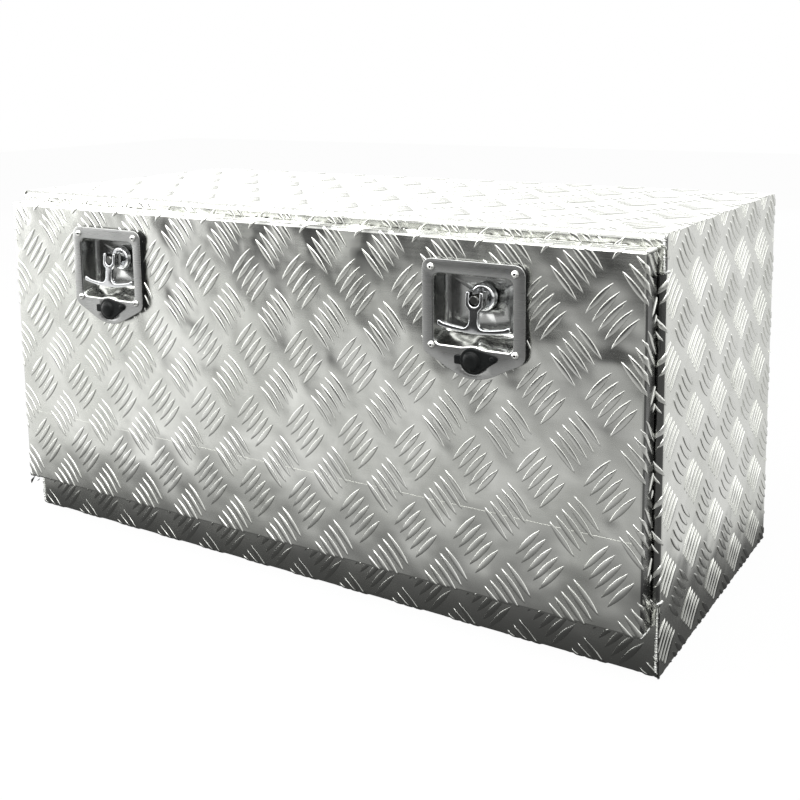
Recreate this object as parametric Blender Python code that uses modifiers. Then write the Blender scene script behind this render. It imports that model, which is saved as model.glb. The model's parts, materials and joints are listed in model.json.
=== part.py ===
"""Aluminium tread plate tool box with a full-width drop-down door and two folding T-handle locks.

Metres, +Z up. The origin is the middle of the underside. The front faces -Y and +X runs along the front.
"""

import math

import bmesh
import bpy
from mathutils import Matrix, Vector

# Clearances and cutting
GAP = 0.0003
OVERRUN = 0.001
MERGE = 0.00001

# Box
BOX_WIDTH = 0.900
BOX_HEIGHT = 0.444
BOX_DEPTH = 0.394
SHEET = 0.0025
BOX_INNER_BEND = 0.0035
JAMB_WIDTH = 0.034
LIP_HEIGHT = 0.036
SILL_HEIGHT = 0.078
CORNER_RELIEF = 0.001
BEND_SEGMENTS = 4

# Door tray
DOOR_SIDE_MARGIN = 0.008
DOOR_TOP_MARGIN = 0.0126
DOOR_SILL_LAP = 0.0263
DOOR_DEPTH = 0.0245
DOOR_STAND_OFF = 0.003
DOOR_INNER_BEND = 0.0005
DOOR_BEND_SEGMENTS = 2

# Door liner and seal
LINER_SHEET = 0.0015
LINER_CUT_MARGIN = 0.002
SEAL_WIDTH = 0.010
SEAL_THICKNESS = 0.0049
SEAL_INSET = 0.001
SEAL_CORNER = 0.012
SEAL_ROUNDING = 0.0018

# Piano hinge
HINGE_END_MARGIN = 0.022
HINGE_PIN_RADIUS = 0.0017
HINGE_KNUCKLE_WALL = 0.0014
HINGE_LEAF = 0.0011
HINGE_SEAL_CLEARANCE = 0.0045
HINGE_DOOR_LEAF_DEPTH = 0.019
HINGE_KNUCKLES = 11

# Stays: a straight slot in a rail, and an arm as long as its pivot stands from the hinge
STAY_RAIL_TILT_DEG = 13.5
STAY_STUD_DROP = 0.102
STAY_SLOT_START = 0.0673
STAY_PLANE_INSET = 0.0025
STAY_ARM_SHEET = 0.004
STAY_ARM_HALF_WIDTH = 0.007
STAY_RAIL_SHEET = 0.002
STAY_RAIL_HALF_WIDTH = 0.0095
STAY_RAIL_END = 0.014
STAY_RAIL_FOOT_MARGIN = 0.005
STAY_RAIL_FOOT_DROP = 0.021
STAY_RAIL_CLEARANCE = 0.0035
STAY_BRACKET_SHEET = 0.003
STAY_BRACKET_GAP = 0.0008
STAY_BRACKET_FOOT = 0.024
STAY_BRACKET_HALF_HEIGHT = 0.034
STAY_STUD_RADIUS = 0.004
STAY_STUD_HEAD_RADIUS = 0.0058
STAY_PIN_RADIUS = 0.003
STAY_PIN_HEAD_RADIUS = 0.0055
STAY_HEAD_THICKNESS = 0.0015

# Lock pan and the plate round it
LOCK_INSET = 0.1886
LOCK_TOP_MARGIN = 0.023
LOCK_SHEET = 0.0012
LOCK_PROUD = 0.006
PAN_HALF_WIDTH = 0.0454
PAN_TOP = 0.0343
PAN_BOTTOM = 0.040
PAN_CORNER = 0.007
PAN_DEPTH = 0.027
PAN_HUMP = 0.0024
PAN_HUMP_HALF_WIDTH = 0.017
PAN_CUT_MARGIN = 0.0008
PLATE_SIDE_BORDER = 0.0138
PLATE_TOP_BORDER = 0.0151
PLATE_SHOULDER_BORDER = 0.0085
PLATE_TOE_BORDER = 0.0379
PLATE_TOP_CORNER = 0.011
PLATE_SHOULDER_CORNER = 0.012
PLATE_TOE_CORNER = 0.052
GASKET_INSET = 0.0006

# Rivets of the lock plate, placed from the pan's edges
RIVET_SIDE_OFFSET = 0.0028
RIVET_TOP_OFFSET = 0.0062
RIVET_BOTTOM_OFFSET = 0.0012
RIVET_HEAD_RADIUS = 0.0042
RIVET_HEAD_HEIGHT = 0.0022
RIVET_SHANK_RADIUS = 0.002
RIVET_HOLE_RADIUS = 0.0025
RIVET_BULB_RADIUS = 0.0032
RIVET_BULB_LENGTH = 0.004
RIVET_MANDREL_RADIUS = 0.0011
RIVET_MANDREL_DEPTH = 0.0016

# Spindle, boss, cam and nut
SPINDLE_RISE = 0.0092
SPINDLE_RADIUS = 0.006
SPINDLE_THREAD_RADIUS = 0.004
SPINDLE_END_SPARE = 0.0012
SPINDLE_COLLAR = 0.0006
TONGUE_WIDTH = 0.0112
TONGUE_HALF_HEIGHT = 0.0062
BOSS_RADIUS = 0.0150
BOSS_FACE_RADIUS = 0.0115
BOSS_HEIGHT = 0.0067
CAM_LAP = 0.0172
CAM_HALF_WIDTH = 0.008
CAM_SHEET = 0.003
CAM_CLEARANCE = 0.0025
NUT_RADIUS = 0.0075
NUT_HEIGHT = 0.005
NUT_SIDES = 6

# T-handle
HANDLE_FACE_SINK = 0.0005
HANDLE_PIN_SINK = 0.0075
HANDLE_PIN_RADIUS = 0.002
HEAD_HALF_WIDTH = 0.0098
HEAD_TOP = 0.0094
HEAD_BOTTOM = 0.0094
HEAD_BOSS_CLEARANCE = 0.0057
HEAD_ROUNDING = 0.0018
FORK_SLOT_SIDE_GAP = 0.0003
HANDLE_BAR_DEPTH = 0.0042
HANDLE_STEM_HALF_WIDTH = 0.0054
HANDLE_DROP = 0.0316
HANDLE_SIDE_CLEARANCE = 0.005
HANDLE_BAR_HALF_THICKNESS = 0.0021
HANDLE_BAR_RISE = 0.0047
HANDLE_FILLET = 0.008
HEAD_SWELL = 0.0006

# Key cylinder and weather cap
CYLINDER_DROP = 0.0127
CYLINDER_WALL = 0.0023
CYLINDER_LINER_CLEARANCE = 0.0045
PLUG_RADIUS = 0.0062
PLUG_TAIL_RADIUS = 0.0028
KEYWAY_WIDTH = 0.0016
KEYWAY_HEIGHT = 0.008
KEYWAY_DEPTH = 0.010
PLUG_TONGUE_HALF_LENGTH = 0.0078
PLUG_TONGUE_HALF_WIDTH = 0.0022
PLUG_TONGUE_SHEET = 0.0015
CAP_RADIUS = 0.0135
CAP_BASE = 0.0022
CAP_DOME_RADIUS = 0.0088
CAP_DOME_HEIGHT = 0.0042
CAP_PIVOT_OUT = 0.0240
CAP_PIVOT_UP = 0.0050
CAP_TAIL_RADIUS = 0.0044
CAP_TAB_REACH = 0.0205
CAP_TAB_HALF_HEIGHT = 0.0046
CAP_ROUNDING = 0.0005
CAP_RIVET_RADIUS = 0.0018
CAP_RIVET_HEAD_RADIUS = 0.0032
CAP_RIVET_HEAD_HEIGHT = 0.0014
CAP_RIVET_TAIL = 0.002

# Counts of facets
FINE_STEPS = 28
STEPS = 20
SMALL_STEPS = 12
ARC_STEP_DEG = 15.0

# How much of the key cylinder's length the plug's wide part fills
PLUG_LENGTH_SHARE = 0.8

# Rings of a domed head, as shares of its radius and of its height
DOME_RING_SHARES = ((0.55, 0.88), (0.85, 0.55))

# Places that follow from the sizes
BODY_FRONT = -BOX_DEPTH / 2
BODY_BACK = BOX_DEPTH / 2
FLANGE_BACK = BODY_FRONT + SHEET
SIDE = BOX_WIDTH / 2
BOX_BEND = SHEET + BOX_INNER_BEND
OPENING_HALF_WIDTH = SIDE - JAMB_WIDTH
OPENING_TOP = BOX_HEIGHT - LIP_HEIGHT
SEAL_REACH = SEAL_INSET + SEAL_WIDTH
DOOR_BEND = SHEET + DOOR_INNER_BEND
DOOR_BACK = BODY_FRONT - DOOR_STAND_OFF
DOOR_FRONT = DOOR_BACK - DOOR_DEPTH
DOOR_HALF_WIDTH = SIDE - DOOR_SIDE_MARGIN
DOOR_TOP = BOX_HEIGHT - DOOR_TOP_MARGIN
DOOR_BOTTOM = SILL_HEIGHT - DOOR_SILL_LAP
LINER_BACK = BODY_FRONT - GAP - SEAL_THICKNESS - GAP
LINER_FRONT = LINER_BACK - LINER_SHEET

# Places on the hinge
HINGE_LENGTH = 2 * (DOOR_HALF_WIDTH - HINGE_END_MARGIN)
HINGE_BORE = HINGE_PIN_RADIUS + GAP
HINGE_KNUCKLE_RADIUS = HINGE_BORE + HINGE_KNUCKLE_WALL
HINGE_Y = BODY_FRONT - GAP - HINGE_KNUCKLE_RADIUS
HINGE_Z = DOOR_BOTTOM - GAP - HINGE_KNUCKLE_RADIUS
HINGE_AXIS = Vector((0.0, HINGE_Y, HINGE_Z))
HINGE_BODY_LEAF_HEIGHT = SILL_HEIGHT - SEAL_REACH - HINGE_SEAL_CLEARANCE - HINGE_Z

# The stay's slot runs on a line through the hinge axis. The stud lies at its rest reach with the door shut
# and at its start with the door open, and is farthest up between the two, where the arm crosses the line.
STAY_RAIL_TILT = math.radians(STAY_RAIL_TILT_DEG)
STAY_REST_REACH = (BOX_HEIGHT - STAY_STUD_DROP - HINGE_Z) / math.cos(STAY_RAIL_TILT)
STAY_SLOT_END = math.hypot(STAY_REST_REACH, STAY_SLOT_START)
STAY_ARM_LENGTH = STAY_SLOT_END / 2
STAY_LEAN = STAY_RAIL_TILT + math.atan2(STAY_SLOT_START, STAY_REST_REACH)

# The layers of a stay along X, as distances from the middle of the box
STAY_ARM_OUT = OPENING_HALF_WIDTH - STAY_PLANE_INSET
STAY_ARM_IN = STAY_ARM_OUT - STAY_ARM_SHEET
STAY_BRACKET_OUT = STAY_ARM_IN - STAY_BRACKET_GAP
STAY_BRACKET_IN = STAY_BRACKET_OUT - STAY_BRACKET_SHEET
STAY_RAIL_IN = STAY_ARM_OUT + STAY_RAIL_CLEARANCE
STAY_RAIL_OUT = STAY_RAIL_IN + STAY_RAIL_SHEET
STAY_FOOT_OUT = SIDE - BOX_BEND - STAY_RAIL_FOOT_MARGIN

# Places on a lock. The heights of its plate and pan are given from the lock's own middle.
PLATE_HALF_WIDTH = PAN_HALF_WIDTH + PLATE_SIDE_BORDER
PLATE_TOP = PAN_TOP + PLATE_TOP_BORDER
PLATE_SHOULDER = PAN_BOTTOM + PLATE_SHOULDER_BORDER
PLATE_TOE = PAN_BOTTOM + PLATE_TOE_BORDER
PLATE_FRONT = DOOR_FRONT - LOCK_PROUD
PLATE_BACK = PLATE_FRONT + LOCK_SHEET
PAN_FLOOR = PLATE_FRONT + PAN_DEPTH
PAN_BACK = PAN_FLOOR + LOCK_SHEET
LOCK_HEIGHT = DOOR_TOP - LOCK_TOP_MARGIN - PLATE_TOP
SPINDLE_HEIGHT = LOCK_HEIGHT + SPINDLE_RISE
BOSS_FACE = PAN_FLOOR - GAP - BOSS_HEIGHT
CAM_FRONT = FLANGE_BACK + CAM_CLEARANCE
CAM_BACK = CAM_FRONT + CAM_SHEET
CAM_LENGTH = OPENING_TOP + CAM_LAP - SPINDLE_HEIGHT
HANDLE_PIN_Y = PLATE_FRONT + HANDLE_PIN_SINK
HANDLE_FACE = PLATE_FRONT + HANDLE_FACE_SINK
HEAD_BACK = BOSS_FACE - HEAD_BOSS_CLEARANCE
HANDLE_BAR_HALF_LENGTH = PAN_HALF_WIDTH - HANDLE_SIDE_CLEARANCE
CYLINDER_HEIGHT = LOCK_HEIGHT - PAN_BOTTOM - CYLINDER_DROP
CYLINDER_RADIUS = PLUG_RADIUS + GAP + CYLINDER_WALL
CYLINDER_LENGTH = LINER_FRONT - CYLINDER_LINER_CLEARANCE - PLATE_FRONT
PLUG_LENGTH = CYLINDER_LENGTH * PLUG_LENGTH_SHARE
LOCKS = (("left", LOCK_INSET - SIDE), ("right", SIDE - LOCK_INSET))
SIDES = (("left", -1.0), ("right", 1.0))

# The turns that stand a flat outline, or a turned piece, on the front or the side of the box
TO_FRONT = Matrix.Rotation(math.radians(90.0), 4, "X")
TO_SIDE = Matrix(((0, 0, 1, 0), (1, 0, 0, 0), (0, 1, 0, 0), (0, 0, 0, 1)))
ALONG_X = Matrix.Rotation(math.radians(90.0), 4, "Y")


def clear_scene():
    for obj in list(bpy.data.objects):
        bpy.data.objects.remove(obj, do_unlink=True)


def collection(name, hidden=False):
    made = bpy.data.collections.new(name)
    bpy.context.scene.collection.children.link(made)
    made.hide_render = hidden
    return made


def look(name, colour, metallic, roughness):
    made = bpy.data.materials.new(name)
    made.use_nodes = True
    shader = made.node_tree.nodes["Principled BSDF"]
    shader.inputs["Base Color"].default_value = (*colour, 1.0)
    shader.inputs["Metallic"].default_value = metallic
    shader.inputs["Roughness"].default_value = roughness
    made.diffuse_color = (*colour, 1.0)
    return made


clear_scene()
PARTS = collection("tool_box")
CUTTERS = collection("cutters", hidden=True)

TREAD_COLOUR = (0.72, 0.73, 0.72)
PLAIN_COLOUR = (0.62, 0.63, 0.64)
STEEL_COLOUR = (0.55, 0.56, 0.56)
BRIGHT_COLOUR = (0.80, 0.81, 0.82)
RUBBER_COLOUR = (0.015, 0.015, 0.016)
BRASS_COLOUR = (0.62, 0.50, 0.28)


# Helpers that make one solid each


def node(name, mesh, surface):
    """A visible piece of the box, with a material of its own."""
    made = bpy.data.objects.new(name, mesh)
    PARTS.objects.link(made)
    mesh.materials.clear()
    mesh.materials.append(look(name + "_look", *surface))
    mesh.shade_smooth()
    mesh.set_sharp_from_angle(angle=math.radians(30.0))
    return made


def tool(name, mesh):
    """A helper solid that a Boolean adds or takes away."""
    made = bpy.data.objects.new(name, mesh)
    CUTTERS.objects.link(made)
    made.hide_render = True
    made.display_type = "WIRE"
    return made


def mesh_from(name, bm):
    mesh = bpy.data.meshes.new(name)
    bm.to_mesh(mesh)
    bm.free()
    return mesh


def blocks(name, corners):
    """One mesh with a box for each pair of opposite corners."""
    bm = bmesh.new()
    for low, high in corners:
        made = bmesh.ops.create_cube(bm, size=1.0)
        size = [b - a for a, b in zip(low, high)]
        middle = [(a + b) / 2 for a, b in zip(low, high)]
        bmesh.ops.scale(bm, vec=size, verts=made["verts"])
        bmesh.ops.translate(bm, vec=middle, verts=made["verts"])
    return mesh_from(name, bm)


def rods(name, places, radius, back, front, steps=SMALL_STEPS):
    """One mesh with a round rod along Y at each (x, z) place."""
    bm = bmesh.new()
    for x, z in places:
        made = bmesh.ops.create_cone(
            bm, cap_ends=True, segments=steps, radius1=radius, radius2=radius, depth=back - front
        )
        place = Matrix.Translation((x, (back + front) / 2, z)) @ TO_FRONT
        bmesh.ops.transform(bm, matrix=place, verts=made["verts"])
    return mesh_from(name, bm)


def arc(centre, radius, start_deg, end_deg):
    """Points of a round stretch, both ends included."""
    count = max(2, round(abs(end_deg - start_deg) / ARC_STEP_DEG))
    turns = [math.radians(start_deg + (end_deg - start_deg) * i / count) for i in range(count + 1)]
    return [(centre[0] + radius * math.cos(a), centre[1] + radius * math.sin(a)) for a in turns]


def rounded(corners):
    """A closed outline whose corners, given as (x, y, radius), are rounded."""
    points = []
    count = len(corners)
    for i, (x, y, radius) in enumerate(corners):
        here = Vector((x, y))
        before = (Vector(corners[i - 1][:2]) - here).normalized()
        after = (Vector(corners[(i + 1) % count][:2]) - here).normalized()
        half = before.angle(after) / 2
        centre = here + (before + after).normalized() * radius / math.sin(half)
        start = here + before * radius / math.tan(half) - centre
        end = here + after * radius / math.tan(half) - centre
        first = math.degrees(math.atan2(start.y, start.x))
        turn = math.degrees(math.atan2(start.x * end.y - start.y * end.x, start.dot(end)))
        points += arc(centre, radius, first, first + turn)
    return points


def slot_outline(start, end, radius):
    """A closed outline with two round ends round the points start and end."""
    heading = math.degrees(math.atan2(end[1] - start[1], end[0] - start[0]))
    first = arc(start, radius, heading + 90.0, heading + 270.0)
    return first + arc(end, radius, heading - 90.0, heading + 90.0)


def circle(centre, radius, steps=SMALL_STEPS):
    turns = [math.tau * i / steps for i in range(steps)]
    return [(centre[0] + radius * math.cos(a), centre[1] + radius * math.sin(a)) for a in turns]


def outline_mesh(name, loops, thickness, turn, place):
    """A flat outline of that thickness, its middle at place, with the later loops as holes."""
    curve = bpy.data.curves.new(name, "CURVE")
    curve.dimensions = "2D"
    curve.fill_mode = "BOTH"
    curve.extrude = thickness / 2
    for loop in loops:
        spline = curve.splines.new("POLY")
        spline.points.add(len(loop) - 1)
        for point, (x, y) in zip(spline.points, loop):
            point.co = (x, y, 0.0, 1.0)
        spline.use_cyclic_u = True
    flat = bpy.data.objects.new(name, curve)
    bpy.context.scene.collection.objects.link(flat)
    graph = bpy.context.evaluated_depsgraph_get()
    mesh = bpy.data.meshes.new_from_object(flat.evaluated_get(graph))
    bpy.data.objects.remove(flat, do_unlink=True)
    bpy.data.curves.remove(curve)
    bm = bmesh.new()
    bm.from_mesh(mesh)
    bmesh.ops.remove_doubles(bm, verts=bm.verts, dist=MERGE)
    bmesh.ops.transform(bm, matrix=Matrix.Translation(place) @ turn, verts=bm.verts)
    bmesh.ops.recalc_face_normals(bm, faces=bm.faces)
    bm.to_mesh(mesh)
    bm.free()
    mesh.name = name
    return mesh


def profile_mesh(name, profile, closed=False):
    """The edge chain that a Screw turns, given as (radius, height) from the top down the outer side."""
    bm = bmesh.new()
    verts = [bm.verts.new((radius, 0.0, height)) for radius, height in profile]
    for first, second in zip(verts, verts[1:]):
        bm.edges.new((first, second))
    if closed:
        bm.edges.new((verts[-1], verts[0]))
    return mesh_from(name, bm)


def turn_profile(obj, place, turn, steps):
    """Turns the object's profile round its own Z axis, which the turn lays along another axis."""
    screw = obj.modifiers.new("turned", "SCREW")
    screw.steps = steps
    screw.render_steps = steps
    screw.use_merge_vertices = True
    screw.merge_threshold = MERGE
    screw.use_smooth_shade = True
    obj.matrix_world = Matrix.Translation(place) @ turn
    return obj


def turned(name, surface, profile, place, turn=TO_FRONT, steps=STEPS, closed=False):
    return turn_profile(node(name, profile_mesh(name, profile, closed), surface), place, turn, steps)


def turned_tool(name, profile, place, turn=TO_FRONT, steps=STEPS, closed=False):
    return turn_profile(tool(name, profile_mesh(name, profile, closed)), place, turn, steps)


def boolean(target, other, operation):
    made = target.modifiers.new(other.name, "BOOLEAN")
    made.operation = operation
    made.object = other
    made.solver = "EXACT"


def cut(target, *others):
    for other in others:
        boolean(target, other, "DIFFERENCE")


def join(target, *others):
    for other in others:
        boolean(target, other, "UNION")


def soften(obj, width, segments, angle_deg=30.0):
    made = obj.modifiers.new("rounded edges", "BEVEL")
    made.width = width
    made.segments = segments
    made.limit_method = "ANGLE"
    made.angle_limit = math.radians(angle_deg)
    return made


def thicken(obj, thickness):
    made = obj.modifiers.new("sheet", "SOLIDIFY")
    made.thickness = thickness
    made.offset = -1.0
    made.use_even_offset = True
    return made


def strip(bm, path, step):
    """A strip of open surface: a chain of edges along the path, swept by the step."""
    verts = [bm.verts.new(point) for point in path]
    edges = [bm.edges.new(pair) for pair in zip(verts, verts[1:])]
    swept = bmesh.ops.extrude_edge_only(bm, edges=edges)["geom"]
    bmesh.ops.translate(bm, vec=step, verts=[v for v in swept if isinstance(v, bmesh.types.BMVert)])


def face_away_from(bm, inside):
    """Points the faces of an open surface away from a place inside it."""
    bmesh.ops.remove_doubles(bm, verts=bm.verts, dist=MERGE)
    bmesh.ops.recalc_face_normals(bm, faces=bm.faces)
    bm.normal_update()
    widest = max(bm.faces, key=lambda face: face.calc_area())
    if (widest.calc_center_median() - inside).dot(widest.normal) < 0.0:
        bmesh.ops.reverse_faces(bm, faces=bm.faces)


# Empties that carry the moving pieces, each on its joint's axis


def pivot(name, place, carrier=None):
    made = bpy.data.objects.new(name, None)
    PARTS.objects.link(made)
    made.location = place
    made["place"] = tuple(place)
    return carry(made, carrier)


def carry(obj, carrier):
    if carrier is not None:
        obj.parent = carrier
        obj.matrix_parent_inverse = Matrix.Translation(-Vector(carrier["place"]))
    return obj


# Box body


def body_wrap():
    """The top, back and floor, folded from one sheet, with the lip and the sill at the front."""
    half = SIDE - SHEET - GAP
    path = [
        (-half, BODY_FRONT, OPENING_TOP),
        (-half, BODY_FRONT, BOX_HEIGHT),
        (-half, BODY_BACK, BOX_HEIGHT),
        (-half, BODY_BACK, 0.0),
        (-half, BODY_FRONT, 0.0),
        (-half, BODY_FRONT, SILL_HEIGHT),
    ]
    bm = bmesh.new()
    strip(bm, path, (2 * half, 0.0, 0.0))
    face_away_from(bm, Vector((0.0, 0.0, BOX_HEIGHT / 2)))
    made = node("body_wrap", mesh_from("body_wrap", bm), (TREAD_COLOUR, 0.9, 0.35))
    soften(made, BOX_BEND, BEND_SEGMENTS)
    thicken(made, SHEET)


def end_outline(low, high):
    """The flat of a side sheet, as (y, z), with a relief at each end of the jamb's fold."""
    fold = BODY_FRONT + BOX_BEND
    relief = CORNER_RELIEF
    corners = [
        arc((fold, BOX_BEND), BOX_BEND, 180.0, 270.0),
        arc((BODY_BACK - BOX_BEND, BOX_BEND), BOX_BEND, 270.0, 360.0),
        arc((BODY_BACK - BOX_BEND, BOX_HEIGHT - BOX_BEND), BOX_BEND, 0.0, 90.0),
        arc((fold, BOX_HEIGHT - BOX_BEND), BOX_BEND, 90.0, 180.0),
    ]
    upper = [(BODY_FRONT, high + relief), (fold, high + relief)]
    lower = [(fold, low - relief), (BODY_FRONT, low - relief)]
    return [(fold, high), (fold, low)] + lower + sum(corners, []) + upper


def end_panel(name, side):
    """A side sheet, folded into the jamb of the opening between the sill and the lip."""
    x = side * SIDE
    outline = end_outline(SILL_HEIGHT + GAP, OPENING_TOP - GAP)
    bm = bmesh.new()
    verts = [bm.verts.new((x, y, z)) for y, z in outline]
    bm.faces.new(verts)
    edge = bm.edges.get(verts[:2])
    turns = [math.radians(90.0) * i / BEND_SEGMENTS for i in range(BEND_SEGMENTS + 1)]
    route = [(BOX_BEND * (math.cos(a) - 1), -BOX_BEND * math.sin(a)) for a in turns]
    route.append((OPENING_HALF_WIDTH - SIDE, -BOX_BEND))
    for (x0, y0), (x1, y1) in zip(route, route[1:]):
        swept = bmesh.ops.extrude_edge_only(bm, edges=[edge])["geom"]
        edge = next(item for item in swept if isinstance(item, bmesh.types.BMEdge))
        bmesh.ops.translate(bm, vec=(side * (x1 - x0), y1 - y0, 0.0), verts=edge.verts)
    face_away_from(bm, Vector((0.0, 0.0, BOX_HEIGHT / 2)))
    made = node(name, mesh_from(name, bm), (TREAD_COLOUR, 0.9, 0.35))
    thicken(made, SHEET)


def frame_outline(half_width, bottom, top, corner):
    return rounded(
        [
            (half_width, top, corner),
            (-half_width, top, corner),
            (-half_width, bottom, corner),
            (half_width, bottom, corner),
        ]
    )


def door_seal():
    """The rubber seal round the opening, on the front of the jambs, lip and sill."""
    inner, outer = (
        frame_outline(OPENING_HALF_WIDTH + reach, SILL_HEIGHT - reach, OPENING_TOP + reach, corner)
        for reach, corner in ((SEAL_INSET, SEAL_CORNER), (SEAL_REACH, SEAL_CORNER + SEAL_WIDTH))
    )
    middle = (0.0, BODY_FRONT - GAP - SEAL_THICKNESS / 2, 0.0)
    mesh = outline_mesh("door_seal", [outer, inner], SEAL_THICKNESS, TO_FRONT, middle)
    soften(node("door_seal", mesh, (RUBBER_COLOUR, 0.0, 0.6)), SEAL_ROUNDING, 1, angle_deg=60.0)


# Piano hinge


def hinge_outline(leaf_reach):
    """A knuckle with its bore, and a leaf that leaves it along a tangent."""
    radius = HINGE_KNUCKLE_RADIUS
    inner = radius - HINGE_LEAF
    meet = math.degrees(math.acos(inner / radius))
    outer = [(inner, leaf_reach)] + arc((0.0, 0.0), radius, meet - 360.0, 0.0) + [(radius, leaf_reach)]
    return [outer, circle((0.0, 0.0), HINGE_BORE, STEPS)]


def knuckle_places(first):
    """The start and end, along X, of every second knuckle."""
    pitch = HINGE_LENGTH / HINGE_KNUCKLES
    starts = [-HINGE_LENGTH / 2 + pitch * i for i in range(first, HINGE_KNUCKLES, 2)]
    return [(start, start + pitch) for start in starts]


def hinge_leaf(name, reach, forward, first):
    """A leaf whose own knuckles stay and whose other knuckles are cut away."""
    turn = TO_SIDE @ Matrix.Rotation(math.radians(90.0 if forward else 0.0), 4, "Z")
    mesh = outline_mesh(name, hinge_outline(reach), HINGE_LENGTH, turn, HINGE_AXIS)
    made = node(name, mesh, (STEEL_COLOUR, 1.0, 0.3))
    cutter_corners = []
    radius = HINGE_KNUCKLE_RADIUS
    spare = radius + OVERRUN
    clear = radius + GAP / 2
    for start, end in knuckle_places(first):
        low = (start - GAP / 2, HINGE_Y - (clear if forward else spare), HINGE_Z - spare)
        high = (end + GAP / 2, HINGE_Y + spare, HINGE_Z + (spare if forward else clear))
        cutter_corners.append((low, high))
    cut(made, tool(name + "_gaps", blocks(name + "_gaps", cutter_corners)))
    return made


def hinge():
    hinge_leaf("hinge_body_leaf", HINGE_BODY_LEAF_HEIGHT, False, 1)
    carry(hinge_leaf("hinge_door_leaf", HINGE_DOOR_LEAF_DEPTH, True, 0), DOOR)
    half = HINGE_LENGTH / 2
    pin = [(0.0, half), (HINGE_PIN_RADIUS, half), (HINGE_PIN_RADIUS, -half), (0.0, -half)]
    turned("hinge_pin", (STEEL_COLOUR, 1.0, 0.25), pin, HINGE_AXIS, ALONG_X, SMALL_STEPS)


# Door


def door_skin():
    """The outer tray, cut for the two locks."""
    bm = bmesh.new()
    bmesh.ops.create_cube(bm, size=1.0)
    size = (2 * DOOR_HALF_WIDTH, DOOR_DEPTH, DOOR_TOP - DOOR_BOTTOM)
    bmesh.ops.scale(bm, vec=size, verts=bm.verts)
    middle = (0.0, (DOOR_FRONT + DOOR_BACK) / 2, (DOOR_TOP + DOOR_BOTTOM) / 2)
    bmesh.ops.translate(bm, vec=middle, verts=bm.verts)
    back = [face for face in bm.faces if face.normal.y > face.normal.length / 2]
    bmesh.ops.delete(bm, geom=back, context="FACES")
    made = node("door_skin", mesh_from("door_skin", bm), (TREAD_COLOUR, 0.9, 0.35))
    soften(made, DOOR_BEND, DOOR_BEND_SEGMENTS)
    thicken(made, SHEET)
    every_hole = bmesh.new()
    for cutter in LOCK_CUTS.values():
        every_hole.from_mesh(cutter.data)
    cut(made, tool("door_holes", mesh_from("door_holes", every_hole)))
    carry(made, DOOR)


def door_liner():
    """The flat inner sheet of the door, with a window round each lock pan."""
    spare = SHEET + GAP
    low = (-DOOR_HALF_WIDTH + spare, LINER_FRONT, DOOR_BOTTOM + spare)
    high = (DOOR_HALF_WIDTH - spare, LINER_BACK, DOOR_TOP - spare)
    mesh = blocks("door_liner", [(low, high)])
    made = node("door_liner", mesh, (PLAIN_COLOUR, 0.9, 0.4))
    reach = PAN_HALF_WIDTH + LOCK_SHEET + LINER_CUT_MARGIN
    window = LOCK_SHEET + LINER_CUT_MARGIN
    corners = [
        (
            (x - reach, LINER_FRONT - OVERRUN, LOCK_HEIGHT - PAN_BOTTOM - window),
            (x + reach, LINER_BACK + OVERRUN, LOCK_HEIGHT + PAN_TOP + window),
        )
        for label, x in LOCKS
    ]
    cut(made, tool("liner_windows", blocks("liner_windows", corners)))
    carry(made, DOOR)


# Stays


def on_rail(reach, offset=0.0):
    """A place beside the slot's middle line, at a reach from the hinge axis, as (y, z)."""
    lift = math.cos(STAY_RAIL_TILT)
    slope = math.sin(STAY_RAIL_TILT)
    return HINGE_Y + reach * slope + offset * lift, HINGE_Z + reach * lift - offset * slope


def stay_pivot_place():
    """The arm's pivot on the door, as (y, z).

    It stands from the hinge axis by the arm's own length, so the arm turns back twice as fast as the door
    opens, and its stud keeps to the straight line through the hinge axis that the slot follows.
    """
    return (
        HINGE_Y + STAY_ARM_LENGTH * math.sin(STAY_LEAN),
        HINGE_Z + STAY_ARM_LENGTH * math.cos(STAY_LEAN),
    )


def layer(side, inner, outer):
    """The middle of a stay's layer, on the X axis."""
    return (side * (inner + outer) / 2, 0.0, 0.0)


def side_block(side, inner, outer, low, high):
    """Opposite corners of a box between two distances from the middle, for (y, z) corners."""
    xs = sorted((side * inner, side * outer))
    return (xs[0], *low), (xs[1], *high)


def angle_piece(name, loops, sheet, middle, foot):
    """A bent angle: a flat leg with its holes, joined to a foot."""
    mesh = outline_mesh(name, loops, sheet, TO_SIDE, middle)
    made = node(name, mesh, (STEEL_COLOUR, 1.0, 0.35))
    join(made, tool(name + "_foot", blocks(name + "_foot", [foot])))
    return made


def stay_rail(label, side):
    """An angle behind the jamb. Its slotted leg runs back into the box."""
    near_end = STAY_SLOT_START - STAY_RAIL_END
    far_end = STAY_SLOT_END + STAY_RAIL_END
    root = FLANGE_BACK + GAP
    root_middle = root + STAY_RAIL_SHEET / 2
    tip = on_rail(far_end, -STAY_RAIL_HALF_WIDTH)
    low = on_rail(near_end, -STAY_RAIL_HALF_WIDTH)[1]
    high = tip[1] - STAY_RAIL_FOOT_DROP
    back_edge = [on_rail(near_end, STAY_RAIL_HALF_WIDTH), on_rail(far_end, STAY_RAIL_HALF_WIDTH)]
    leg = [(root_middle, low)] + back_edge + [tip, (root_middle, high)]
    slot = slot_outline(on_rail(STAY_SLOT_START), on_rail(STAY_SLOT_END), STAY_STUD_RADIUS + GAP)
    foot = side_block(
        side,
        STAY_RAIL_IN + STAY_RAIL_SHEET / 2,
        STAY_FOOT_OUT,
        (root, low + STAY_RAIL_SHEET),
        (root + STAY_RAIL_SHEET, high - STAY_RAIL_SHEET),
    )
    middle = layer(side, STAY_RAIL_IN, STAY_RAIL_OUT)
    angle_piece("stay_rail_" + label, [leg, slot], STAY_RAIL_SHEET, middle, foot)


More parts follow.
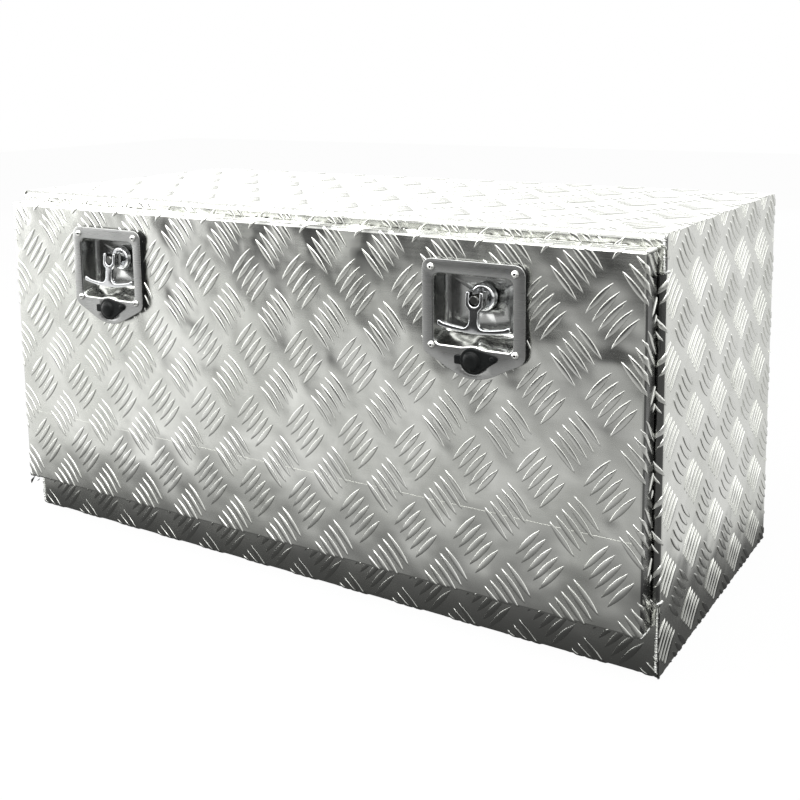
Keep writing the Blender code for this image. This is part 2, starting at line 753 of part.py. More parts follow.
def stay_bracket(label, side):
    """An angle on the door's liner whose leg reaches back to the arm's pivot."""
    y, z = stay_pivot_place()
    root = LINER_BACK + GAP
    root_middle = root + STAY_BRACKET_SHEET / 2
    low = z - STAY_BRACKET_HALF_HEIGHT
    high = z + STAY_BRACKET_HALF_HEIGHT
    spread = STAY_ARM_HALF_WIDTH
    tip = [(y + spread, z - spread, spread), (y + spread, z + spread, spread)]
    leg = rounded([(root_middle, low, 0.0)] + tip + [(root_middle, high, 0.0)])
    hole = circle((y, z), STAY_PIN_RADIUS + GAP)
    foot = side_block(
        side,
        STAY_BRACKET_OUT - STAY_BRACKET_FOOT,
        STAY_BRACKET_OUT - STAY_BRACKET_SHEET / 2,
        (root, low - STAY_BRACKET_SHEET),
        (root + STAY_BRACKET_SHEET, high + STAY_BRACKET_SHEET),
    )
    middle = layer(side, STAY_BRACKET_IN, STAY_BRACKET_OUT)
    carry(angle_piece("stay_bracket_" + label, [leg, hole], STAY_BRACKET_SHEET, middle, foot), DOOR)


def stay_arm(label, side, carrier):
    name = "stay_arm_" + label
    start = stay_pivot_place()
    end = on_rail(STAY_REST_REACH)
    holes = [circle(start, STAY_PIN_RADIUS + GAP), circle(end, STAY_PIN_RADIUS + GAP)]
    loops = [slot_outline(start, end, STAY_ARM_HALF_WIDTH)] + holes
    mesh = outline_mesh(name, loops, STAY_ARM_SHEET, TO_SIDE, layer(side, STAY_ARM_IN, STAY_ARM_OUT))
    carry(node(name, mesh, (STEEL_COLOUR, 1.0, 0.3)), carrier)


def outward(side):
    """The turn that points a turned piece's top away from the middle of the box."""
    return ALONG_X if side > 0.0 else Matrix.Rotation(math.radians(-90.0), 4, "Y")


def stay_pin(label, side):
    """The headed pin that holds the arm to its bracket."""
    outer = STAY_ARM_OUT + GAP
    inner = STAY_BRACKET_IN - GAP
    head = STAY_HEAD_THICKNESS
    profile = [
        (0.0, outer + head),
        (STAY_PIN_HEAD_RADIUS, outer + head),
        (STAY_PIN_HEAD_RADIUS, outer),
        (STAY_PIN_RADIUS, outer),
        (STAY_PIN_RADIUS, inner),
        (STAY_PIN_HEAD_RADIUS, inner),
        (STAY_PIN_HEAD_RADIUS, inner - head),
        (0.0, inner - head),
    ]
    place = (0.0, *stay_pivot_place())
    surface = (BRIGHT_COLOUR, 1.0, 0.2)
    carry(turned("stay_pin_" + label, surface, profile, place, outward(side), SMALL_STEPS), DOOR)


def stay_stud(label, side, carrier):
    """The shouldered stud at the arm's free end. Its outer part slides in the rail's slot."""
    collar = STAY_RAIL_IN - GAP
    outer = STAY_RAIL_OUT + GAP
    inner = STAY_ARM_IN - GAP
    head = STAY_HEAD_THICKNESS
    wide = STAY_STUD_HEAD_RADIUS
    profile = [
        (0.0, outer + head),
        (wide, outer + head),
        (wide, outer),
        (STAY_STUD_RADIUS, outer),
        (STAY_STUD_RADIUS, collar),
        (wide, collar),
        (wide, STAY_ARM_OUT + GAP),
        (STAY_PIN_RADIUS, STAY_ARM_OUT + GAP),
        (STAY_PIN_RADIUS, inner),
        (wide, inner),
        (wide, inner - head),
        (0.0, inner - head),
    ]
    place = (0.0, *on_rail(STAY_REST_REACH))
    surface = (BRIGHT_COLOUR, 1.0, 0.2)
    carry(turned("stay_stud_" + label, surface, profile, place, outward(side), SMALL_STEPS), carrier)


def stay(label, side):
    middle = side * (STAY_ARM_IN + STAY_ARM_OUT) / 2
    carrier = pivot("stay_pivot_" + label, (middle, *stay_pivot_place()), DOOR)
    stay_rail(label, side)
    stay_bracket(label, side)
    stay_arm(label, side, carrier)
    stay_pin(label, side)
    stay_stud(label, side, carrier)


# Locks


def plate_outline(inset=0.0):
    half = PLATE_HALF_WIDTH - inset
    return rounded(
        [
            (half, PLATE_TOP - inset, PLATE_TOP_CORNER),
            (-half, PLATE_TOP - inset, PLATE_TOP_CORNER),
            (-half, inset - PLATE_SHOULDER, PLATE_SHOULDER_CORNER),
            (0.0, inset - PLATE_TOE, PLATE_TOE_CORNER),
            (half, inset - PLATE_SHOULDER, PLATE_SHOULDER_CORNER),
        ]
    )


def pan_outline(grow=0.0):
    """The opening of the pan, whose lower edge rises in a hump over the key cylinder."""
    half = PAN_HALF_WIDTH + grow
    top = PAN_TOP + grow
    bottom = -PAN_BOTTOM - grow
    corner = PAN_CORNER + grow
    upper = arc((half - corner, top - corner), corner, 0.0, 90.0)
    upper += arc((corner - half, top - corner), corner, 90.0, 180.0)
    lower = arc((corner - half, bottom + corner), corner, 180.0, 270.0)
    steps = STEPS // 2
    reach = PAN_HUMP_HALF_WIDTH
    across = [reach * (2 * i / steps - 1) for i in range(steps + 1)]
    lower += [(u, bottom + PAN_HUMP * (1 + math.cos(math.pi * u / reach)) / 2) for u in across]
    lower += arc((half - corner, bottom + corner), corner, 270.0, 360.0)
    return upper + lower


def rivet_places(x):
    upper = LOCK_HEIGHT + PAN_TOP + RIVET_TOP_OFFSET
    lower = LOCK_HEIGHT - PAN_BOTTOM - RIVET_BOTTOM_OFFSET
    reach = PAN_HALF_WIDTH + RIVET_SIDE_OFFSET
    return [(x + way * reach, z) for z in (upper, lower) for way in (-1.0, 1.0)]


def lock_cutters():
    """The holes that the gasket, the door skin and the plate share, one set for each lock."""
    made = {}
    back = DOOR_FRONT + SHEET + OVERRUN
    front = PLATE_FRONT - OVERRUN
    for label, x in LOCKS:
        grow = LOCK_SHEET + PAN_CUT_MARGIN
        made["pan_" + label] = pan_tool("pan_cut_" + label, x, grow, PLATE_BACK, back)
        name = "lock_holes_" + label
        cylinder = [(x, CYLINDER_HEIGHT)]
        bm = bmesh.new()
        bm.from_mesh(rods(name, rivet_places(x), RIVET_HOLE_RADIUS, back, front))
        bm.from_mesh(rods(name, cylinder, CYLINDER_RADIUS + GAP, back, front, FINE_STEPS))
        made["holes_" + label] = tool(name, mesh_from(name, bm))
    return made


def cap_place(x):
    return x + CAP_PIVOT_OUT, CYLINDER_HEIGHT + CAP_PIVOT_UP


def pan_tool(name, x, grow, front, back):
    """A solid with the pan's outline between two depths."""
    middle = (x, (front + back) / 2, LOCK_HEIGHT)
    return tool(name, outline_mesh(name, [pan_outline(grow)], back - front, TO_FRONT, middle))


def lock_plate(label, x):
    """The stainless face plate with its pressed pan."""
    name = "lock_plate_" + label
    middle = (x, (PLATE_FRONT + PLATE_BACK) / 2, LOCK_HEIGHT)
    mesh = outline_mesh(name, [plate_outline()], LOCK_SHEET, TO_FRONT, middle)
    made = node(name, mesh, (STEEL_COLOUR, 1.0, 0.25))
    join(made, pan_tool("pan_walls_" + label, x, LOCK_SHEET, PLATE_FRONT + LOCK_SHEET / 2, PAN_BACK))
    cut(made, pan_tool("pan_hollow_" + label, x, 0.0, PLATE_FRONT - OVERRUN, PAN_FLOOR))
    back = PAN_BACK + OVERRUN
    bores = bmesh.new()
    spindle_bore = [(x, SPINDLE_HEIGHT)]
    bores.from_mesh(rods(name, spindle_bore, SPINDLE_RADIUS + GAP, back, PAN_FLOOR - OVERRUN, STEPS))
    front = PLATE_FRONT - OVERRUN
    bores.from_mesh(rods(name, [cap_place(x)], CAP_RIVET_RADIUS + GAP, PLATE_BACK + OVERRUN, front))
    cut(made, LOCK_CUTS["holes_" + label], tool("plate_bores_" + label, mesh_from(name, bores)))
    carry(made, DOOR)


def lock_gasket(label, x):
    """The thick rubber gasket that beds the plate on the raised bars of the tread plate."""
    name = "lock_gasket_" + label
    front = PLATE_BACK + GAP
    back = DOOR_FRONT - GAP
    middle = (x, (front + back) / 2, LOCK_HEIGHT)
    mesh = outline_mesh(name, [plate_outline(GASKET_INSET)], back - front, TO_FRONT, middle)
    made = node(name, mesh, (RUBBER_COLOUR, 0.0, 0.7))
    cut(made, LOCK_CUTS["pan_" + label], LOCK_CUTS["holes_" + label])
    recess = rods(name, [cap_place(x)], CAP_RIVET_HEAD_RADIUS, back + OVERRUN, front - OVERRUN)
    cut(made, tool("gasket_recess_" + label, recess))
    carry(made, DOOR)


def dome(radius, height, foot):
    """Profile points of a domed head, from its top down to its foot."""
    rings = [(radius * across, foot + height * up) for across, up in DOME_RING_SHARES]
    return rings + [(radius, foot)]


def lock_rivets(label, x):
    """Blind rivets through the plate, the gasket and the door skin."""
    seat = GAP
    skin_back = -(LOCK_PROUD + SHEET + GAP)
    mouth = seat + RIVET_HEAD_HEIGHT
    profile = [(0.0, mouth - RIVET_MANDREL_DEPTH), (RIVET_MANDREL_RADIUS, mouth - RIVET_MANDREL_DEPTH)]
    profile += [(RIVET_MANDREL_RADIUS, mouth)]
    profile += dome(RIVET_HEAD_RADIUS, RIVET_HEAD_HEIGHT, seat)
    profile += [
        (RIVET_SHANK_RADIUS, seat),
        (RIVET_SHANK_RADIUS, skin_back),
        (RIVET_BULB_RADIUS, skin_back),
        (RIVET_BULB_RADIUS, skin_back - RIVET_BULB_LENGTH),
        (0.0, skin_back - RIVET_BULB_LENGTH),
    ]
    for i, (rx, rz) in enumerate(rivet_places(x)):
        name = "lock_rivet_" + label + "_" + str(i + 1)
        place = (rx, PLATE_FRONT, rz)
        carry(turned(name, (BRIGHT_COLOUR, 1.0, 0.2), profile, place, steps=SMALL_STEPS), DOOR)


def lock_boss(label, x):
    """The round boss on the pan's floor that guides the spindle."""
    bore = SPINDLE_RADIUS + GAP
    top = PLATE_FRONT - BOSS_FACE
    foot = top - BOSS_HEIGHT
    profile = [
        (bore, top),
        (BOSS_FACE_RADIUS, top),
        (BOSS_RADIUS, top - BOSS_HEIGHT / 2),
        (BOSS_RADIUS, foot),
        (bore, foot),
    ]
    place = (x, PLATE_FRONT, SPINDLE_HEIGHT)
    surface = (BRIGHT_COLOUR, 1.0, 0.12)
    carry(turned("lock_boss_" + label, surface, profile, place, steps=FINE_STEPS, closed=True), DOOR)


def spindle(label, x, carrier):
    """The turning shaft: a tongue in the handle's fork, a round shaft and a thread for the nut."""
    place = (x, HANDLE_PIN_Y, SPINDLE_HEIGHT)
    shaft_top = HANDLE_PIN_Y - BOSS_FACE + SPINDLE_COLLAR
    shoulder = HANDLE_PIN_Y - CAM_FRONT + GAP
    end = HANDLE_PIN_Y - CAM_BACK - GAP - NUT_HEIGHT - SPINDLE_END_SPARE
    profile = [
        (0.0, shaft_top),
        (SPINDLE_RADIUS, shaft_top),
        (SPINDLE_RADIUS, shoulder),
        (SPINDLE_THREAD_RADIUS, shoulder),
        (SPINDLE_THREAD_RADIUS, end),
        (0.0, end),
    ]
    name = "spindle_" + label
    made = turned(name, (BRIGHT_COLOUR, 1.0, 0.15), profile, place)
    root = SPINDLE_COLLAR / 2 - shaft_top
    half = TONGUE_HALF_HEIGHT
    tongue = arc((0.0, 0.0), half, 90.0, 270.0) + [(root, -half), (root, half)]
    hole = circle((0.0, 0.0), HANDLE_PIN_RADIUS + GAP)
    mesh = outline_mesh(name + "_tongue", [tongue, hole], TONGUE_WIDTH, TO_SIDE, place)
    join(made, tool(name + "_tongue", mesh))
    carry(made, carrier)


def cam(label, x, carrier):
    """The cam, which points along -X while it is clear of the lip."""
    name = "cam_" + label
    place = (x, (CAM_FRONT + CAM_BACK) / 2, SPINDLE_HEIGHT)
    outline = slot_outline((CAM_HALF_WIDTH - CAM_LENGTH, 0.0), (0.0, 0.0), CAM_HALF_WIDTH)
    loops = [outline, circle((0.0, 0.0), SPINDLE_THREAD_RADIUS + GAP)]
    mesh = outline_mesh(name, loops, CAM_SHEET, TO_FRONT, place)
    carry(node(name, mesh, (STEEL_COLOUR, 1.0, 0.35)), carrier)


def cam_nut(label, x, carrier):
    name = "cam_nut_" + label
    place = (x, CAM_BACK + GAP + NUT_HEIGHT / 2, SPINDLE_HEIGHT)
    bore = circle((0.0, 0.0), SPINDLE_THREAD_RADIUS + GAP)
    loops = [circle((0.0, 0.0), NUT_RADIUS, NUT_SIDES), bore]
    mesh = outline_mesh(name, loops, NUT_HEIGHT, TO_FRONT, place)
    carry(node(name, mesh, (BRIGHT_COLOUR, 1.0, 0.25)), carrier)


def handle_outline():
    """The stem and the anchor-shaped crossbar, from the pin's place. The bar curves as a parabola."""
    reach = HANDLE_BAR_HALF_LENGTH
    half = HANDLE_BAR_HALF_THICKNESS
    stem = HANDLE_STEM_HALF_WIDTH

    def middle(u):
        return -HANDLE_DROP + HANDLE_BAR_RISE * (u / reach) ** 2

    steps = STEPS // 2
    below = [(reach * (2 * i / steps - 1), -half) for i in range(steps + 1)]
    lower = [(u, middle(u) + down) for u, down in below]
    blend = stem + HANDLE_FILLET
    midway = (reach + blend) / 2
    right = [(reach, middle(reach) + half), (midway, middle(midway) + half)]
    seat = middle(blend) + half
    right += reversed(arc((blend, seat + HANDLE_FILLET), HANDLE_FILLET, 180.0, 270.0))
    right += [(stem, 0.0)]
    left = [(-u, w) for u, w in reversed(right)]
    return lower + right + left


def cross_pin_profile(radius, reach):
    return [(0.0, reach), (radius, reach), (radius, -reach), (0.0, -reach)]


def handle(label, x, carrier):
    """The T-handle, stowed in the pan with its stem down. Its fork turns on the pin."""
    name = "t_handle_" + label
    place = (x, HANDLE_FACE + HANDLE_BAR_DEPTH / 2, SPINDLE_HEIGHT)
    mesh = outline_mesh(name, [handle_outline()], HANDLE_BAR_DEPTH, TO_FRONT, place)
    made = node(name, mesh, (BRIGHT_COLOUR, 1.0, 0.18))
    low = (x - HEAD_HALF_WIDTH, HANDLE_FACE - HEAD_SWELL, SPINDLE_HEIGHT - HEAD_BOTTOM)
    high = (x + HEAD_HALF_WIDTH, HEAD_BACK, SPINDLE_HEIGHT + HEAD_TOP)
    head = tool(name + "_head", blocks(name + "_head", [(low, high)]))
    soften(head, HEAD_ROUNDING, 1)
    slot = TONGUE_WIDTH / 2 + FORK_SLOT_SIDE_GAP
    low = (x - slot, HANDLE_FACE - OVERRUN, SPINDLE_HEIGHT - TONGUE_HALF_HEIGHT - GAP)
    high = (x + slot, HEAD_BACK + OVERRUN, SPINDLE_HEIGHT + HEAD_TOP + OVERRUN)
    fork = tool(name + "_fork", blocks(name + "_fork", [(low, high)]))
    profile = cross_pin_profile(HANDLE_PIN_RADIUS + GAP, HEAD_HALF_WIDTH + OVERRUN)
    place = (x, HANDLE_PIN_Y, SPINDLE_HEIGHT)
    bore = turned_tool(name + "_bore", profile, place, ALONG_X, SMALL_STEPS)
    join(made, head)
    cut(made, fork, bore)
    carry(made, carrier)


def handle_pin(label, x, carrier):
    profile = cross_pin_profile(HANDLE_PIN_RADIUS, HEAD_HALF_WIDTH)
    place = (x, HANDLE_PIN_Y, SPINDLE_HEIGHT)
    surface = (STEEL_COLOUR, 1.0, 0.3)
    carry(turned("handle_pin_" + label, surface, profile, place, ALONG_X, SMALL_STEPS), carrier)


def key_cylinder(label, x):
    """The cylinder's housing, flush with the plate, bored for the plug and its tail."""
    depth = PLUG_LENGTH
    bore = PLUG_RADIUS + GAP
    tail = PLUG_TAIL_RADIUS + GAP
    profile = [
        (bore, 0.0),
        (CYLINDER_RADIUS, 0.0),
        (CYLINDER_RADIUS, -CYLINDER_LENGTH),
        (tail, -CYLINDER_LENGTH),
        (tail, -depth - GAP),
        (bore, -depth - GAP),
    ]
    place = (x, PLATE_FRONT, CYLINDER_HEIGHT)
    name = "key_cylinder_" + label
    carry(turned(name, (STEEL_COLOUR, 1.0, 0.3), profile, place, closed=True), DOOR)


def key_plug(label, x, carrier):
    """The plug that the key turns, with its keyway, and the tongue on its tail."""
    name = "key_plug_" + label
    z = CYLINDER_HEIGHT
    tail_end = CYLINDER_LENGTH + GAP + PLUG_TONGUE_SHEET / 2
    profile = [
        (0.0, -GAP),
        (PLUG_RADIUS, -GAP),
        (PLUG_RADIUS, -PLUG_LENGTH),
        (PLUG_TAIL_RADIUS, -PLUG_LENGTH),
        (PLUG_TAIL_RADIUS, -tail_end),
        (0.0, -tail_end),
    ]
    made = turned(name, (BRASS_COLOUR, 1.0, 0.3), profile, (x, PLATE_FRONT, z))
    front = PLATE_FRONT + CYLINDER_LENGTH + GAP
    low = (x - PLUG_TONGUE_HALF_LENGTH, front, z - PLUG_TONGUE_HALF_WIDTH)
    high = (x + PLUG_TONGUE_HALF_LENGTH, front + PLUG_TONGUE_SHEET, z + PLUG_TONGUE_HALF_WIDTH)
    join(made, tool(name + "_tongue", blocks(name + "_tongue", [(low, high)])))
    low = (x - KEYWAY_WIDTH / 2, PLATE_FRONT - OVERRUN, z - KEYWAY_HEIGHT / 2)
    high = (x + KEYWAY_WIDTH / 2, PLATE_FRONT + KEYWAY_DEPTH, z + KEYWAY_HEIGHT / 2)
    cut(made, tool(name + "_keyway", blocks(name + "_keyway", [(low, high)])))
    carry(made, carrier)


def teardrop():
    """The weather cap's round cover and its tail, joined by two tangents, from the cover's middle."""
    heading = math.degrees(math.atan2(CAP_PIVOT_UP, CAP_PIVOT_OUT))
    span_length = math.hypot(CAP_PIVOT_OUT, CAP_PIVOT_UP)
    lean = math.degrees(math.acos((CAP_RADIUS - CAP_TAIL_RADIUS) / span_length))
    cover = arc((0.0, 0.0), CAP_RADIUS, heading + lean, heading + 360.0 - lean)
    tail = arc((CAP_PIVOT_OUT, CAP_PIVOT_UP), CAP_TAIL_RADIUS, heading - lean, heading + lean)
    return cover + tail


def weather_cap(label, x, carrier):
    """The rubber cap over the key cylinder, with its pull tab. It swings on the rivet in its tail."""
    name = "weather_cap_" + label
    back = PLATE_FRONT - GAP
    place = (x, back - CAP_BASE / 2, CYLINDER_HEIGHT)
    px, pz = cap_place(0.0)
    hole = circle((px, pz - CYLINDER_HEIGHT), CAP_RIVET_RADIUS + GAP)
    mesh = outline_mesh(name, [teardrop(), hole], CAP_BASE, TO_FRONT, place)
    made = node(name, mesh, (RUBBER_COLOUR, 0.0, 0.45))
    profile = [(0.0, CAP_BASE + CAP_DOME_HEIGHT)]
    profile += dome(CAP_DOME_RADIUS, CAP_DOME_HEIGHT, CAP_BASE)
    profile += [(CAP_DOME_RADIUS, CAP_BASE / 2), (0.0, CAP_BASE / 2)]
    cover = turned_tool(name + "_dome", profile, (x, back, CYLINDER_HEIGHT), steps=STEPS)
    tab = (
        (x - CAP_TAB_REACH, back - CAP_BASE + CAP_ROUNDING, CYLINDER_HEIGHT - CAP_TAB_HALF_HEIGHT),
        (x - CAP_RADIUS / 2, back - CAP_ROUNDING, CYLINDER_HEIGHT + CAP_TAB_HALF_HEIGHT),
    )
    join(made, cover, tool(name + "_tab", blocks(name + "_tab", [tab])))
    carry(made, carrier)


def cap_rivet(label, x):
    """The rivet that the weather cap swings on."""
    seat = GAP + CAP_BASE + GAP
    tail = -(LOCK_SHEET + CAP_RIVET_TAIL)
    profile = [(0.0, seat + CAP_RIVET_HEAD_HEIGHT)]
    profile += dome(CAP_RIVET_HEAD_RADIUS, CAP_RIVET_HEAD_HEIGHT, seat)
    profile += [(CAP_RIVET_RADIUS, seat), (CAP_RIVET_RADIUS, tail), (0.0, tail)]
    px, pz = cap_place(x)
    place = (px, PLATE_FRONT, pz)
    surface = (STEEL_COLOUR, 1.0, 0.3)
    carry(turned("cap_rivet_" + label, surface, profile, place, steps=SMALL_STEPS), DOOR)


def lock(label, x):
    spindle_pivot = pivot("spindle_pivot_" + label, (x, HANDLE_PIN_Y, SPINDLE_HEIGHT), DOOR)
    handle_pivot = pivot("handle_pivot_" + label, (x, HANDLE_PIN_Y, SPINDLE_HEIGHT), spindle_pivot)
    key_pivot = pivot("key_pivot_" + label, (x, PLATE_FRONT, CYLINDER_HEIGHT), DOOR)
    px, pz = cap_place(x)
    cap_pivot = pivot("cap_pivot_" + label, (px, PLATE_FRONT, pz), DOOR)
    lock_plate(label, x)
    lock_gasket(label, x)
    lock_rivets(label, x)
    lock_boss(label, x)
    spindle(label, x, spindle_pivot)
    cam(label, x, spindle_pivot)
    cam_nut(label, x, spindle_pivot)
    handle(label, x, handle_pivot)
    handle_pin(label, x, handle_pivot)
    key_cylinder(label, x)
    key_plug(label, x, key_pivot)
    weather_cap(label, x, cap_pivot)
    cap_rivet(label, x)


DOOR = pivot("door_pivot", HINGE_AXIS)
LOCK_CUTS = lock_cutters()

body_wrap()
door_seal()
hinge()
door_skin()
door_liner()
for label, side in SIDES:
    end_panel("end_panel_" + label, side)
    stay(label, side)
for label, x in LOCKS:
    lock(label, x)
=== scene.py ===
"""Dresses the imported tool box: raised tread bars, welds, detailed locks, finishes and a studio.

Metres, +Z up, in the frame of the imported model. The front of the box faces -Y.
"""

import json
import math

import bmesh
import bpy
from bpy.props import FloatProperty, FloatVectorProperty, IntProperty, PointerProperty
from mathutils import Matrix, Vector

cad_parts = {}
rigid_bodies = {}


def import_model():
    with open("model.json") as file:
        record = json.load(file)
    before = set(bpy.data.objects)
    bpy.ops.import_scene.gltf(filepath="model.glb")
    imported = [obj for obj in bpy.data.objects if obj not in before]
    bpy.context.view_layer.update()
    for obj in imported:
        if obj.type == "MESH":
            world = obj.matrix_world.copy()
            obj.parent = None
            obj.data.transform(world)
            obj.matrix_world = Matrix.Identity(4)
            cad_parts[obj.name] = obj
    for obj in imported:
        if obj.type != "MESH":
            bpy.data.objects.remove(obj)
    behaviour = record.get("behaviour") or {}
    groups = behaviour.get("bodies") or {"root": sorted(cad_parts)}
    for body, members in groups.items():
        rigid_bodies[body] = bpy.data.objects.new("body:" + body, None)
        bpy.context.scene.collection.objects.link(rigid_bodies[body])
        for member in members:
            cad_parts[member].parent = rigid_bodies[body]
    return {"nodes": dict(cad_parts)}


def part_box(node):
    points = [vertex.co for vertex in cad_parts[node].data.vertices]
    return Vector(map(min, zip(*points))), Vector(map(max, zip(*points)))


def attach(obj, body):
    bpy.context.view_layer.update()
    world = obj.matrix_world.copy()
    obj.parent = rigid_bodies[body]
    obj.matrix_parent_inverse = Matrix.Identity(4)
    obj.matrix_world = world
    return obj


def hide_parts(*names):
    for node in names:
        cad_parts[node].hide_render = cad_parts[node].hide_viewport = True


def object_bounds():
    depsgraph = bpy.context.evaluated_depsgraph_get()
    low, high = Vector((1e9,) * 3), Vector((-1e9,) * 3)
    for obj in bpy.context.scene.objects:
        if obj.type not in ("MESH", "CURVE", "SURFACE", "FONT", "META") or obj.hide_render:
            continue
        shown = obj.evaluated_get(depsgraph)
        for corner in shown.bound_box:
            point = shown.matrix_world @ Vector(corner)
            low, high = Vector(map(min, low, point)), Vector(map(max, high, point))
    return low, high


bl_info = {
    "name": "Tread Plate Tool Box",
    "version": (1, 0, 0),
    "blender": (4, 5, 0),
    "location": "3D View > Sidebar > Tool Box",
    "description": "Raised bars, welds, locks, finishes and a studio for the packed tool box",
    "category": "Object",
}

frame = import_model()
CAD_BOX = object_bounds()
NODES = frame["nodes"]
SIDES = ("left", "right")

WRAP_LOW, WRAP_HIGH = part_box("body_wrap")
END_LOW, END_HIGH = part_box("end_panel_right")
DOOR_LOW, DOOR_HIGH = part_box("door_skin")
SEAL_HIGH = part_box("door_seal")[1]
HINGE_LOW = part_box("hinge_body_leaf")[0]
PLATE_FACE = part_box("lock_plate_right")[0].y

# Flat places of one group of left-turned bars on each sheet
DOOR_ANCHOR = (-0.3636, 0.2381)
WRAP_ANCHOR = (-0.3636, 0.0310)
END_ANCHOR = (0.2427, 0.1783)
# Heights between which the jambs fold in
END_JAMB = (0.0783, 0.4077)
# How far the bars stay off the seal and the hinge, and off the faces of the end panels
LIP_GAP, END_GAP = 0.0005, 0.0002
# How far one solid of a lock stays off another, and the distance at which two corners are one
FIT_GAP, ONE_SPOT = 0.0003, 1e-6
BLACK = (0.0, 0.0, 0.0)
# The angles in degrees over which an edge of a piece is sharp
SHEET_SHARP, CAST_SHARP, TURNED_SHARP, MOULDED_SHARP = 50.0, 40.0, 35.0, 45.0


# Sizes and colours that a user may change


def length(name, description, default):
    return FloatProperty(name=name, description=description, default=default, min=0.0, unit="LENGTH")


def angle(name, description, degrees):
    return FloatProperty(
        name=name, description=description, default=math.radians(degrees), unit="ROTATION"
    )


def amount(name, description, default):
    return FloatProperty(name=name, description=description, default=default, min=0.0)


def colour(name, description, default):
    return FloatVectorProperty(
        name=name, description=description, default=default, size=3, min=0.0, max=1.0, subtype="COLOR"
    )


class TreadSizes(bpy.types.PropertyGroup):
    bar_length: length("Bar Length", "Length of a raised bar from tip to tip", 0.0450)
    bar_width: length("Bar Width", "Width of a raised bar at its middle", 0.0068)
    bar_height: length("Bar Height", "Height of a raised bar over the sheet", 0.00095)
    bar_flank: length("Bar Flank", "Width of the slope along the edge of a bar", 0.0007)
    bar_bow: length("Bar Bow", "How far the middle of a bar stands off its chord", 0.0003)
    bar_sink: length("Bar Sink", "How deep the foot of a bar lies in the sheet", 0.0003)
    bar_turn: angle("Bar Turn", "Turn of the bars from the row of groups", 49.0)
    bars: IntProperty(name="Bars", description="Bars in one group", default=5, min=1)
    step_across: length("Step Across", "Distance between two bars of a group, along the row", 0.0066)
    step_down: length("Step Down", "Distance between two bars of a group, across the row", 0.0079)
    pitch_across: length("Pitch Across", "Distance between like groups in a row", 0.0735)
    pitch_up: length("Pitch Up", "Distance between like groups in a column", 0.0862)
    end_pitch_across: length("End Pitch Across", "The same distance on the end panels", 0.0706)
    end_pitch_up: length("End Pitch Up", "The same distance on the end panels", 0.0804)
    end_scale: amount("End Scale", "Size of the bars on the end panels", 0.95)
    box_bend: length("Box Bend", "Outer radius of the folds of the box", 0.0060)
    door_bend: length("Door Bend", "Outer radius of the folds of the door", 0.0030)
    pillow: length("Pillow", "Height of the bulges that rolling leaves in the sheet", 0.0008)
    lock_clearance: length("Lock Clearance", "How far a bar reaches under a gasket's edge", 0.0010)


class LockSizes(bpy.types.PropertyGroup):
    sheet: length("Sheet", "Thickness of the plate and its pan", 0.0012)
    plate_top: length("Plate Top", "From the middle of the lock to the top edge", 0.0494)
    plate_shoulder: length("Plate Shoulder", "From the middle to the lower corners", 0.0485)
    plate_toe: length("Plate Toe", "From the middle to the lowest point", 0.0779)
    plate_top_corner: length("Plate Top Corner", "Radius of the upper corners", 0.0110)
    plate_shoulder_corner: length("Plate Shoulder Corner", "Radius of the lower corners", 0.0120)
    plate_toe_corner: length("Plate Toe Corner", "Radius of the lowest point", 0.0520)
    plate_edge: length("Plate Edge", "Rounding of the plate's outer edge", 0.0006)
    pan_half_width: length("Pan Half Width", "Half the width of the pan", 0.0454)
    pan_top: length("Pan Top", "From the middle of the lock to the pan's upper edge", 0.0343)
    pan_bottom: length("Pan Bottom", "From the middle of the lock to the pan's lower edge", 0.0400)
    pan_corner: length("Pan Corner", "Corner radius of the pan", 0.0070)
    pan_hump: length("Pan Hump", "Height of the hump over the key cylinder", 0.0024)
    pan_hump_reach: length("Pan Hump Reach", "Half the width of the hump", 0.0170)
    pan_rim: length("Pan Rim", "Radius of the rolled rim of the pan", 0.0017)
    pan_fillet: length("Pan Fillet", "Radius between the pan's walls and its floor", 0.0070)
    pan_draft: length("Pan Draft", "Rise of the pan's lower wall from its rim to its floor", 0.0095)
    pan_depth: length("Pan Depth", "From the plate's face to the pan's floor", 0.0270)
    pin_rise: length("Pin Rise", "From the middle of the lock up to the spindle", 0.0092)
    handle_drop: length("Handle Drop", "From the spindle down to the handle's bar", 0.0316)
    handle_reach: length("Handle Reach", "Half the length of the handle's bar", 0.0404)
    handle_rise: length("Handle Rise", "How far the ends of the bar stand up", 0.0047)
    handle_depth: length("Handle Depth", "Thickness of the handle's bar and stem", 0.0042)
    handle_edge: length("Handle Edge", "Rounding of the handle's edges", 0.0008)
    handle_lean: amount("Handle Lean", "Slope of the handle's face away from upright", 0.10)
    cap_radius: length("Cap Radius", "Radius of the weather cap", 0.0135)
    cap_base: length("Cap Base", "Thickness of the weather cap's flange", 0.0022)
    cap_dome: length("Cap Dome", "Height of the weather cap's dome", 0.0042)
    rivet_radius: length("Rivet Radius", "Radius of a rivet's head", 0.0042)
    rivet_height: length("Rivet Height", "Height of a rivet's head", 0.0022)
    mandrel_radius: length("Mandrel Radius", "Radius of the hole in a rivet's head", 0.0014)


class WeldSizes(bpy.types.PropertyGroup):
    ripple_pitch: length("Ripple Pitch", "Distance between two ripples of a bead", 0.0013)
    bead_radius: length("Bead Radius", "Half the width of a bead", 0.0019)
    flatness: amount("Flatness", "Height of a ripple as a share of its width", 0.62)
    seed: IntProperty(name="Seed", description="Seed of the ripples' unevenness", default=7, min=0)


